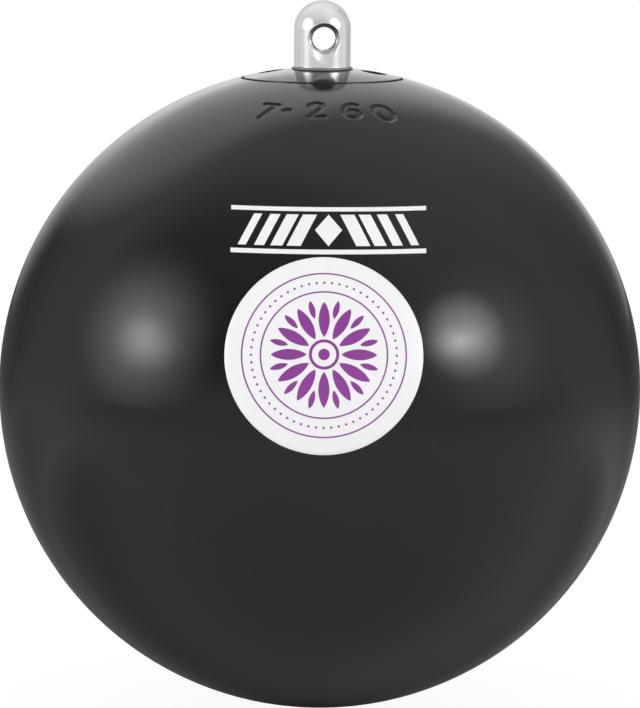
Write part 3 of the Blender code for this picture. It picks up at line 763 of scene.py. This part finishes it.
def make_housing():
    """The cap with its neck bore and bearing pocket, and two blind holes for a pin spanner."""
    ceiling = BEARING_TOP + FIT_GAP
    relief = ceiling + CEILING_RELIEF
    seat = dome_height(CAP_RADIUS) - CAP_RIM_HEIGHT
    seal_z = (relief + dome_height(NECK_BORE_RADIUS)) / 2
    inner = math.degrees(math.asin((NECK_BORE_RADIUS + CAP_ROUNDING) / HEAD_RADIUS))
    outer = math.degrees(math.asin((CAP_RADIUS - CAP_ROUNDING) / HEAD_RADIUS))
    polars = evenly(inner, outer, DOME_STEPS)
    corners = [
        *(on_circle(HEAD_RADIUS, polar, HEAD_RADIUS) for polar in polars),
        (CAP_RADIUS, dome_height(CAP_RADIUS), CAP_ROUNDING),
        (CAP_RADIUS, seat, EDGE_ROUNDING),
        (THREAD_RADIUS, seat),
        (THREAD_RADIUS, SKIRT_BOTTOM, SKIRT_ROUNDING),
        (POCKET_RADIUS, SKIRT_BOTTOM, EDGE_ROUNDING),
        (POCKET_RADIUS, ceiling),
        (SHIELD_RECESS_RADIUS, ceiling),
        (SHIELD_RECESS_RADIUS, relief),
        (NECK_BORE_RADIUS, relief),
        (NECK_BORE_RADIUS, seal_z - SEAL_GROOVE_HALF),
        (SEAL_GROOVE_RADIUS, seal_z - SEAL_GROOVE_HALF, EDGE_ROUNDING),
        (SEAL_GROOVE_RADIUS, seal_z + SEAL_GROOVE_HALF, EDGE_ROUNDING),
        (NECK_BORE_RADIUS, seal_z + SEAL_GROOVE_HALF),
        (NECK_BORE_RADIUS, dome_height(NECK_BORE_RADIUS), CAP_ROUNDING),
    ]
    outline = rounded(corners, closed=True)
    housing = link("bearing_cap", turned("bearing_cap", outline, even_azimuths(HOUSING_COLUMNS)))
    hole_top = dome_height(SPANNER_PITCH_RADIUS)
    drill = [
        (0, SPANNER_HOLE_BOTTOM),
        (SPANNER_HOLE_RADIUS - SPANNER_FLOOR_CHAMFER, SPANNER_HOLE_BOTTOM),
        (SPANNER_HOLE_RADIUS, SPANNER_HOLE_BOTTOM + SPANNER_FLOOR_CHAMFER),
        (SPANNER_HOLE_RADIUS, hole_top - SPANNER_FLARE_DEPTH),
        (SPANNER_HOLE_RADIUS + SPANNER_FLARE_WIDTH, hole_top + SPANNER_FLARE_RISE),
        (0, hole_top + SPANNER_FLARE_RISE),
    ]
    cutters = []
    for side in (0, 180):
        at = ball_direction(SPANNER_HOLE_ANGLE + side + 90, 90) * SPANNER_PITCH_RADIUS
        place = Matrix.Translation(at)
        cutters.append(turned("drill", drill, even_azimuths(SPANNER_COLUMNS), place))
    machined(housing, cutters)
    dress(housing, "head", "housing_lacquer", "housing_paint", "bearing_housing")


# The swivel spindle

EYE_COLUMNS = 144
EYE_NOSE_STEPS = 24
EYE_SIDE_STEPS = 14
HOLE_HALF_COLUMNS = 19
HOLE_TOP_STEP = 16
BORDER_STEPS = 8
BEVEL_STEPS = 14
BORE_STEPS = 7
PIN_HOLE_COLUMNS = 24

# Height of the plain strip between the eye's last even row and its collar, and the roundings at
# the collar's rim and foot
SIDE_STRIP = 0.2 * MM
RIM_ROUNDING = 0.03 * MM
FOOT_ROUNDING = 0.02 * MM


def eye_depth(x, z, nose_z):
    """How far the eye's surface is in front of its middle plane."""
    rise = max(0, z - nose_z)
    return math.sqrt(EYE_RADIUS**2 - x**2 - rise**2)


def mouth_rings(border, nose_z, bore_radius):
    """Rings of points from a border on the eye's front to where its wire hole's bore starts.

    The mouth is bevelled, and draws out below into a scoop where the wire runs down.
    """
    headings = [math.atan2(x, WIRE_HOLE_Z - z) for x, z in border]
    scoops = [max(0, math.cos(heading)) ** SCOOP_NARROWNESS for heading in headings]

    def ring(radii, depths):
        points = []
        for heading, radius, depth in zip(headings, radii, depths):
            x = radius * math.sin(heading)
            z = WIRE_HOLE_Z - radius * math.cos(heading)
            points.append(Vector((x, depth - eye_depth(x, z, nose_z), z)))
        return points

    far = [math.hypot(x, WIRE_HOLE_Z - z) for x, z in border]
    mouth_width = MOUTH_RADIUS - bore_radius
    widths = [mouth_width + (SCOOP_WIDTH - mouth_width) * scoop for scoop in scoops]
    drops = [MOUTH_DEPTH + (SCOOP_DEPTH - MOUTH_DEPTH) * scoop for scoop in scoops]
    rings = []
    for share in evenly(0, 1, BORDER_STEPS)[1:-1]:
        radii = [reach + (bore_radius + width - reach) * share for reach, width in zip(far, widths)]
        rings.append(ring(radii, [0] * len(border)))
    for angle in evenly(math.pi / 2, 0, BEVEL_STEPS):
        inward = max(0, math.cos(angle)) ** MOUTH_BEVEL
        radii = [bore_radius + width * (1 - inward) for width in widths]
        bevelled = 1 - math.sin(angle) ** MOUTH_BEVEL
        scooped = inward**SCOOP_FULLNESS
        depths = [
            drop * ((1 - scoop) * bevelled + scoop * scooped) for drop, scoop in zip(drops, scoops)
        ]
        rings.append(ring(radii, depths))
    return rings


def hole_rings(border, nose_z):
    """Rings of points through the wire hole, which is a little wider at its back."""
    front = mouth_rings(border, nose_z, WIRE_HOLE_RADIUS)
    rear = mouth_rings(border, nose_z, WIRE_HOLE_REAR_RADIUS)[::-1]
    back = [[Vector((point.x, -point.y, point.z)) for point in ring] for ring in rear]
    bore = [
        [start.lerp(end, share) for start, end in zip(front[-1], back[0])]
        for share in evenly(0, 1, BORE_STEPS)[1:-1]
    ]
    return front + bore + back


def drill_eye(verts, faces, first_row, nose_z):
    """Open the wire hole in the turned spindle, between its front and its back."""
    last_row = first_row + EYE_NOSE_STEPS - HOLE_TOP_STEP + EYE_SIDE_STEPS
    half = HOLE_HALF_COLUMNS
    opened = {
        row * EYE_COLUMNS + column
        for row in range(first_row, last_row)
        for side in range(-half, half)
        for column in (side % EYE_COLUMNS, EYE_COLUMNS // 2 + side)
    }
    faces = [face for index, face in enumerate(faces) if index not in opened]
    border = [(first_row, column) for column in range(-half, half)]
    border += [(row, half) for row in range(first_row, last_row)]
    border += [(last_row, column) for column in range(half, -half, -1)]
    border += [(row, -half) for row in range(last_row, first_row, -1)]
    front = [row * EYE_COLUMNS + column % EYE_COLUMNS for row, column in border]
    back = [row * EYE_COLUMNS + EYE_COLUMNS // 2 - column for row, column in border]
    loops = [front]
    for ring in hole_rings([(verts[index].x, verts[index].z) for index in front], nose_z):
        loops.append(list(range(len(verts), len(verts) + len(ring))))
        verts += ring
    loops.append(back)
    for pair in zip(loops, loops[1:]):
        faces += bridged(*pair)
    return verts, faces


def make_spindle():
    """The chromed eye, collar and neck with the shaft below, turned from one bar."""
    nose_z = EYE_TOP - EYE_RADIUS
    collar_bottom, collar_top = collar_heights()
    nose = [on_circle(EYE_RADIUS, angle, nose_z) for angle in evenly(0, 90, EYE_NOSE_STEPS)]
    sides = evenly(nose_z, collar_top + SIDE_STRIP, EYE_SIDE_STEPS)[1:]
    corners = [
        (EYE_RADIUS, sides[-1]),
        (EYE_RADIUS, collar_top, EDGE_ROUNDING),
        (COLLAR_RADIUS, collar_bottom + COLLAR_RIM, RIM_ROUNDING),
        (COLLAR_RADIUS - RIM_ROUNDING, collar_bottom, FOOT_ROUNDING),
        (NECK_RADIUS, collar_bottom, EDGE_ROUNDING),
        (NECK_RADIUS, BEARING_TOP + FIT_GAP, EDGE_ROUNDING),
        (SHAFT_RADIUS, BEARING_TOP + FIT_GAP),
        (SHAFT_RADIUS, SHAFT_END + SHAFT_CHAMFER),
        (SHAFT_RADIUS - SHAFT_CHAMFER, SHAFT_END),
        (0, SHAFT_END),
    ]
    outline = nose + [(EYE_RADIUS, z) for z in sides] + rounded(corners)[1:]
    verts, faces = turned_shape(outline, even_azimuths(EYE_COLUMNS))
    verts, faces = drill_eye(verts, faces, HOLE_TOP_STEP - 1, nose_z)
    turn = Matrix.Rotation(math.radians(WIRE_HOLE_TURN), 4, "Z")
    mesh = finished_mesh("swivel_eye", [turn @ vert for vert in verts], faces)
    spindle = link("swivel_eye", mesh)
    ends = (-2 * SHAFT_RADIUS, 2 * SHAFT_RADIUS)
    pin_hole = [(0, ends[0]), *((SPLIT_PIN_HOLE_RADIUS, end) for end in ends), (0, ends[1])]
    along_x = Matrix.Translation((0, 0, SPLIT_PIN_Z)) @ Matrix.Rotation(math.pi / 2, 4, "Y")
    machined(spindle, [turned("pin_hole", pin_hole, even_azimuths(PIN_HOLE_COLUMNS), along_x)])
    dress(spindle, "swivel", "polished_chrome", "spindle_chrome", "swivel_spindle")


# The label and the band

LABEL_AZIMUTH = 0.7
LABEL_POLAR = 77.1
LABEL_SPREAD = 17.03
LABEL_COLUMNS = 180
LABEL_SHARP_ANGLE = 50
LABEL_STEPS = 24
LABEL_THICKNESS = 0.12 * MM
INK_THICKNESS = 0.012 * MM
SUNK = 0.03 * MM

# How far the edge of a printed sheet draws in at its top, in degrees, and what share of its
# thickness is rounded there
EDGE_DRAW = 0.04
EDGE_SHARE = 0.35

# Each printed ring: its distance from the label's middle and its width, in degrees, and its columns
PRINTED_RINGS = ((14.0, 0.26, 180), (10.75, 0.26, 180), (2.3, 0.5, 64))

# The ring of dots and the dot in the middle, in degrees
DOT_RING = 12.37
DOT_COUNT = 60
DOT_SPREAD = 0.24
DOT_COLUMNS = 12
MIDDLE_DOT_SPREAD = 1.0
MIDDLE_DOT_COLUMNS = 32

# Petals of the rosette: where they start and end from the label's middle, and their half width
PETAL_COUNT = 12
PETAL_STEPS = 14
PETAL_TIP_MM = 0.03
PETAL_FULLNESS = 0.75
LONG_PETAL_MM = (3.1, 9.4, 0.95)
SHORT_PETAL_MM = (6.6, 9.9, 0.5)

# The band, right of and above its own middle
BAND_OFFSET = 1.35 * MM
BAND_POLAR = 54.93
BAND_THICKNESS = 0.018 * MM
BAND_HALF_MM = 17.4
BAND_LINES_MM = ((-4.8, -3.9), (3.9, 4.8))
BAR_COUNT = 4
BAR_START_MM = 3.5
BAR_SPACING_MM = 3.25
BAR_WIDTH_MM = 2.5
BAR_NARROWING_MM = 0.35
BAR_TOP_MM = 3.2
BAR_LEAN = 0.45
BAR_STEPS = 16
BAR_COLUMNS = 4
LINE_STEPS = 2
LINE_COLUMNS = 60
DIAMOND_HALF_MM = 2.4
DIAMOND_TIP_MM = 0.02


def label_place():
    """The label's own axes: Z outward through its middle, Y up."""
    right, up, outward = ball_axes(LABEL_AZIMUTH, LABEL_POLAR)
    turn = Matrix((right, up, outward)).transposed().to_4x4()
    return Matrix.Translation(CENTRE) @ turn


def label_way(place, x, y):
    """Outward unit vector at a distance in millimetres right of and above the label's middle."""
    spread = math.degrees(math.hypot(x, y) * MM / HEAD_RADIUS)
    return place.to_3x3() @ ball_direction(math.degrees(math.atan2(x, -y)), spread)


def cap_outline(spread, low, high):
    """Outline of a round sheet on the ball, with a slightly rounded edge."""
    bottom = [on_circle(low, angle) for angle in evenly(0, spread, LABEL_STEPS)]
    shoulder = on_circle(high - EDGE_SHARE * (high - HEAD_RADIUS), spread)
    top = [on_circle(high, angle) for angle in evenly(spread - EDGE_DRAW, 0, LABEL_STEPS)]
    return [*bottom, shoulder, *top]


def dot_outline(spread, low, high):
    """Outline of a small printed dot."""
    return [(0, low), on_circle(low, spread), on_circle(high, spread - EDGE_DRAW), (0, high)]


def ring_outline(spread, width, low, high):
    """Outline of a thin printed ring on the label."""
    ends = (spread - width / 2, spread + width / 2)
    return [on_circle(low, end) for end in ends] + [on_circle(high, end) for end in ends[::-1]]


def petal_grid(place, turn, start, end, half_width):
    """A leaf-shaped petal that points away from the label's middle, in millimetres."""
    grid = []
    for share in evenly(0, 1, PETAL_STEPS):
        along = start + (end - start) * share
        half = half_width * math.sin(math.pi * share) ** PETAL_FULLNESS + PETAL_TIP_MM
        row = []
        for side in (-half, 0, half):
            x = along * math.sin(turn) + side * math.cos(turn)
            y = along * math.cos(turn) - side * math.sin(turn)
            row.append(label_way(place, x, y))
        grid.append(row)
    return grid


def make_label():
    """The round white label."""
    outline = cap_outline(LABEL_SPREAD, HEAD_RADIUS - SUNK, HEAD_RADIUS + LABEL_THICKNESS)
    columns = even_azimuths(LABEL_COLUMNS)
    mesh = turned("round_label", outline, columns, label_place(), LABEL_SHARP_ANGLE)
    dress(link("round_label", mesh), "head", "label_vinyl", "label_white")


def make_label_print():
    """Two rings, a ring of dots and a rosette, printed on the label."""
    place = label_place()
    lift = (LABEL_THICKNESS - SUNK, LABEL_THICKNESS + INK_THICKNESS)
    low, high = (HEAD_RADIUS + height for height in lift)
    shapes = []
    for spread, width, columns in PRINTED_RINGS:
        ring = ring_outline(spread, width, low, high)
        shapes.append(turned_shape(ring, even_azimuths(columns), place))
    dot = dot_outline(DOT_SPREAD, low, high)
    tip = Matrix.Rotation(math.radians(DOT_RING), 4, "X")
    for azimuth in even_azimuths(DOT_COUNT):
        dot_place = place @ Matrix.Rotation(math.radians(azimuth), 4, "Z") @ tip
        shapes.append(turned_shape(dot, even_azimuths(DOT_COLUMNS), dot_place))
    middle = dot_outline(MIDDLE_DOT_SPREAD, low, high)
    shapes.append(turned_shape(middle, even_azimuths(MIDDLE_DOT_COLUMNS), place))
    for azimuth in even_azimuths(PETAL_COUNT):
        turn = math.radians(azimuth)
        between = turn + math.pi / PETAL_COUNT
        shapes.append(sheet_shape(petal_grid(place, turn, *LONG_PETAL_MM), lift))
        shapes.append(sheet_shape(petal_grid(place, between, *SHORT_PETAL_MM), lift))
    mesh = joined("label_rosette_print", shapes)
    dress(link("label_rosette_print", mesh), "head", "label_ink", "label_purple")


def band_way(x, y):
    """Outward unit vector in the band, in millimetres right of and above its middle."""
    polar = math.radians(BAND_POLAR) - y * MM / HEAD_RADIUS
    across = (x * MM + BAND_OFFSET) / (HEAD_RADIUS * math.sin(polar))
    return ball_direction(math.degrees(math.asin(across)), math.degrees(polar))


def bar_grid(left, right, lean, low, high, steps=BAR_STEPS, columns=BAR_COLUMNS):
    """A slanted bar: its left and right ends at mid height, and how far its top leans right."""
    return [
        [band_way(x + lean * y, y) for x in evenly(left, right, columns)]
        for y in evenly(low, high, steps)
    ]


def make_band():
    """A white band of slanted bars, mirrored about a diamond, between two thin lines."""
    grids = []
    for low, high in BAND_LINES_MM:
        ends = (-BAND_HALF_MM, BAND_HALF_MM)
        grids.append(bar_grid(*ends, 0, low, high, LINE_STEPS, LINE_COLUMNS))
    for index in range(BAR_COUNT):
        left = BAR_START_MM + BAR_SPACING_MM * index
        right = left + BAR_WIDTH_MM - BAR_NARROWING_MM * index
        grids.append(bar_grid(left, right, -BAR_LEAN, -BAR_TOP_MM, BAR_TOP_MM))
        grids.append(bar_grid(-right, -left, BAR_LEAN, -BAR_TOP_MM, BAR_TOP_MM))
    diamond = []
    for y in evenly(-BAR_TOP_MM, BAR_TOP_MM, BAR_STEPS):
        half = DIAMOND_HALF_MM * (1 - abs(y) / BAR_TOP_MM) + DIAMOND_TIP_MM
        diamond.append([band_way(x, y) for x in evenly(-half, half, BAR_COLUMNS)])
    lift = (-SUNK, BAND_THICKNESS)
    mesh = joined("white_band_print", [sheet_shape(grid, lift) for grid in [*grids, diamond]])
    dress(link("white_band_print", mesh), "head", "band_ink", "label_white")


# Pieces kept from the model

KEPT_NODES = {
    "seal_rubber": ["dust_seal"],
    "ground_steel": [
        "radial_outer_race",
        "radial_inner_race",
        "thrust_housing_washer",
        "thrust_shaft_washer",
        "bearing_spacer",
    ],
    "pressed_steel": ["upper_shield", "lower_shield", "ribbon_cage_upper", "ribbon_cage_lower"],
    "cage_brass": ["thrust_cage"],
    "zinc_plate": ["nut_washer", "castle_nut", "split_pin"],
    "ball_steel": [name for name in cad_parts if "_ball_" in name],
}


def dress_nodes():
    """Give each piece that is kept from the model its finish."""
    for finish, names in KEPT_NODES.items():
        for name in names:
            coat(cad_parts[name], finish)


# Studio

# Distance of each lamp from the place on the ball where it shows
LAMP_DISTANCE = 1.0

# Each lamp: the place on the ball where the camera sees it, how far its light spreads to the
# side and upwards in degrees, its brightness, and the share of it that is flat before it fades
# (or None, for a wide glow with a pointed middle)
LAMPS = {
    "left_core": ((-32.1, 76.3), (17, 10.5), 4.2, 0.0),
    "left_glow": ((-32.8, 74.6), (34, 29), 6.3, None),
    "right_disc": ((26.2, 74.3), (19.5, 16), 5.2, 0.24),
    "right_core": ((25.3, 75.3), (14.5, 8.3), 10.7, None),
    "right_glow": ((31.0, 75.7), (36, 31), 1.85, None),
}

# Each fill: the pieces that it lights, its direction from the ball (round from the rear, and up,
# in degrees), its distance, spread, lean and brightness, and the share that is flat
LACQUERED = ("ball_shell", "bearing_cap")
CHROMED = ("swivel_eye",)
FILLS = {
    "rear_wide": (LACQUERED, (7, 30), 1.5, (48, 43), -37, 0.33, 0.0),
    "rear_window": (LACQUERED, (-17.5, 38), 1.5, (41.5, 30.5), 25, 0.83, 0.48),
    "rear_low": (LACQUERED, (-3, 7.5), 1.5, (34, 17), 12, 0.68, 0.1),
    "eye_rear": (CHROMED, (-6, 12), 0.8, (68, 66), 0, 0.55, 0.1),
    "eye_front": (CHROMED, (214, 30.5), 3.0, (60, 60), 0, 0.42, 0.25),
    "eye_left_lamp": (CHROMED, (246, 20), 1.0, (31, 27), 0, 3.9, None),
    "eye_right_lamp": (CHROMED, (125, 21.5), 1.0, (30, 26.5), 0, 5.4, None),
    "eye_left_band": (CHROMED, (257, 4), 0.8, (23, 44), 0, 0.06, 0.4),
    "eye_right_band": (CHROMED, (113, 4), 0.8, (20, 44), 0, 0.16, 0.2),
    "eye_left": (CHROMED, (292, 4), 0.8, (24, 44), 0, 0.08, 0.3),
    "eye_right": (CHROMED, (70, 4), 0.8, (32, 44), 0, 0.15, 0.3),
}

# Levels of the studio. Ranges give where a change starts and ends, and the levels there
AMBIENT = 0.60
WALL_RANGE = (0.2, 0.77, 0.63, 0.107)
CEILING_RANGE = (0.35, 0.95, 0.0, 0.22)

# The dim side of the studio, in front on the left: its direction, its depth and its lower edge
DIM_SIDE = (-0.482, -0.715, 0.506)
DIM_RANGE = (0.44, 0.92, 0.0, 0.54)
DIM_EDGE = (-0.02, 0.3)

# The floor: its size, its white, its paper and its shadow for the camera, and its shade in the
# ball's gloss, near the ball and towards the rear, which a place to the right counts for less
FLOOR_SIZE = 60
FLOOR_WHITE = 1.08
PAPER_SCALE = 40
PAPER_GREYS = (grey(0.86), grey(0.90))
FLOOR_SHADOW = 0.14
REARWARD_START = 0.02
REARWARD_SOFTNESS = 0.03
SIDEWAYS_SHARE = 0.35
NEAR_SHADE = (-0.34, 0.08, 0.0, 0.58)
NEAR_REACH = (0.08, 0.3, 1.0, 0.0)
REAR_SHADE = (0.0, 0.6, 0.0, 0.7)
FAR_RANGE = (0.15, 0.6)


def camera_place():
    return CENTRE + ball_direction(0, 90 - VIEW_ELEVATION) * VIEW_DISTANCE


def aimed(name, data, place, way, roll):
    """A lamp or camera at a place, facing along a direction and rolled about it."""
    thing = link(name, data)
    thing.location = place
    thing.rotation_mode = "QUATERNION"
    turn = Quaternion((0, 0, 1), math.radians(roll))
    thing.rotation_quaternion = way.to_track_quat("-Z", "Y") @ turn
    return thing


def make_camera():
    data = bpy.data.cameras.new("camera")
    data.sensor_fit = "HORIZONTAL"
    data.sensor_width = SENSOR_MM
    data.lens = LENS_MM
    data.clip_end = 200
    way = Vector((0, 0, AIM_HEIGHT)) - camera_place()
    bpy.context.scene.camera = aimed("camera", data, camera_place(), way, VIEW_ROLL)


def add_lamp(name, place, way, distance, spread, radiance, flat, lean=0):
    """An area lamp whose light fades from its middle to a round or oval edge."""
    width, height = (2 * distance * math.tan(math.radians(angle)) for angle in spread)
    data = bpy.data.lights.new(name, "AREA")
    data.shape = "RECTANGLE"
    data.size = width
    data.size_y = height
    data.energy = radiance * math.pi * width * height
    data.use_nodes = True
    tree = data.node_tree
    across = add_node(tree, "NewGeometry").outputs["Parametric"]
    centred = {0: across, 1: (2.0, 2.0, 0.0), 2: (-1.0, -1.0, 0.0)}
    middle_out = add_node(tree, "VectorMath", centred, operation="MULTIPLY_ADD").outputs[0]
    reach = length_of(middle_out)
    if flat is None:
        rest = smooth_range(reach, 0.0, 1.0, 1.0, 0.0, kind="LINEAR")
        glow = times(rest, rest)
    else:
        glow = smooth_range(reach, flat, 1.0, 1.0, 0.0)
    feed(tree.nodes["Emission"].inputs["Strength"], glow)
    lamp = aimed(name, data, place, -way, lean)
    lamp.visible_camera = False
    return lamp


def light_only(lamp, pieces, state="INCLUDE"):
    """Keep a lamp's light to some pieces, or keep it off them."""
    chosen = bpy.data.collections.new(lamp.name + "_pieces")
    for piece in pieces:
        chosen.objects.link(bpy.data.objects[piece])
    for member in chosen.collection_objects:
        member.light_linking.link_state = state
    lamp.light_linking.receiver_collection = chosen


def make_lamp(name, spot, spread, radiance, flat):
    """A lamp that the camera sees mirrored in that place on the ball."""
    outward = ball_direction(*spot)
    at = CENTRE + outward * HEAD_RADIUS
    to_camera = (camera_place() - at).normalized()
    way = 2 * outward.dot(to_camera) * outward - to_camera
    place = at + way * LAMP_DISTANCE
    lamp = add_lamp(name, place, way, LAMP_DISTANCE, spread, radiance, flat)
    light_only(lamp, CHROMED, "EXCLUDE")


def make_fill(name, pieces, bearing, distance, spread, lean, radiance, flat):
    """A wide soft lamp that lights only some of the pieces."""
    azimuth, elevation = bearing
    way = ball_direction(180 - azimuth, 90 - elevation)
    lamp = add_lamp(name, CENTRE + way * distance, way, distance, spread, radiance, flat, lean)
    light_only(lamp, pieces)


def studio_level(behind):
    """How bright the studio's walls look in gloss: pale in front, dark towards the rear."""
    return smooth_range(behind, *WALL_RANGE, kind="LINEAR")


def ray_kinds(tree):
    """1 for rays that the camera sees, also through glass, and 1 for rays in gloss."""
    ray = add_node(tree, "LightPath").outputs
    seen = reckon("MAXIMUM", ray["Is Camera Ray"], ray["Is Transmission Ray"])
    return seen, ray["Is Glossy Ray"]


def make_world():
    """White for the camera, a plain level on the object, and darker sides in its reflections."""
    world = bpy.data.worlds.new("studio")
    bpy.context.scene.world = world
    world.use_nodes = True
    world.cycles.sampling_method = "NONE"
    tree = world.node_tree
    background = tree.nodes["Background"]
    way = add_node(tree, "TexCoord").outputs["Generated"]
    parts = xyz_of(way)
    aside = add_node(tree, "VectorMath", {0: way, 1: DIM_SIDE}, operation="DOT_PRODUCT")
    dim_side = smooth_range(aside.outputs["Value"], *DIM_RANGE)
    dim = times(dim_side, smooth_range(parts["Z"], *DIM_EDGE))
    overhead = smooth_range(parts["Z"], *CEILING_RANGE)
    mirrored = minus(plus(studio_level(parts["Y"]), overhead), dim)
    seen, glossy = ray_kinds(tree)
    in_gloss = times(glossy, minus(mirrored, AMBIENT))
    level = plus(in_gloss, times(seen, 1.0 - AMBIENT))
    background.inputs["Color"].default_value = grey(1)
    feed(background.inputs["Strength"], plus(level, AMBIENT))


def make_floor():
    """A pale floor that the camera sees white, with the ball's light shadow on it."""
    half = FLOOR_SIZE / 2
    mesh = bpy.data.meshes.new("floor")
    corners = [(-half, -half, 0), (half, -half, 0), (half, half, 0), (-half, half, 0)]
    mesh.from_pydata(corners, [], [(0, 1, 2, 3)])
    floor = link("floor", mesh)
    material, tree, shader = new_material("floor_paper")
    material.cycles.emission_sampling = "NONE"
    mesh.materials.append(material)
    tree.nodes.remove(shader)
    place = object_place(tree)
    parts = xyz_of(place)
    away = length_of(place)
    sideways = times(reckon("MAXIMUM", parts["X"], 0.0), SIDEWAYS_SHARE)
    behind = minus(plus(parts["Y"], REARWARD_START), sideways)
    rearward = reckon("DIVIDE", behind, plus(away, REARWARD_SOFTNESS))
    near_shade = smooth_range(rearward, *NEAR_SHADE)
    near_ball = times(near_shade, smooth_range(away, *NEAR_REACH))
    dark = reckon("MAXIMUM", near_ball, smooth_range(rearward, *REAR_SHADE))
    seen, glossy = ray_kinds(tree)
    paper = blend_in(noise(place, PAPER_SCALE, detail=3.0), *PAPER_GREYS)
    colour = blend_in(times(glossy, dark), paper, grey(0))
    paper_matt = add_node(tree, "BsdfDiffuse", {"Color": colour}).outputs[0]
    far_level = studio_level(reckon("DIVIDE", parts["Y"], away))
    far_light = add_node(tree, "Emission", {"Strength": far_level}).outputs[0]
    far = times(glossy, smooth_range(away, *FAR_RANGE))
    matt = add_node(tree, "MixShader", {0: far, 1: paper_matt, 2: far_light}).outputs[0]
    bright = add_node(tree, "Emission", {"Strength": FLOOR_WHITE}).outputs[0]
    shown = add_node(tree, "MixShader", {0: FLOOR_SHADOW, 1: bright, 2: matt}).outputs[0]
    mixed = add_node(tree, "MixShader", {0: seen, 1: matt, 2: shown}).outputs[0]
    feed(tree.nodes["Material Output"].inputs["Surface"], mixed)


make_ball()
make_housing()
make_spindle()
make_label()
make_label_print()
make_band()
dress_nodes()
make_camera()
make_world()
make_floor()
for lamp_name, lamp_values in LAMPS.items():
    make_lamp(lamp_name, *lamp_values)
for fill_name, fill_values in FILLS.items():
    make_fill(fill_name, *fill_values)
bpy.context.scene.view_settings.view_transform = "Standard"
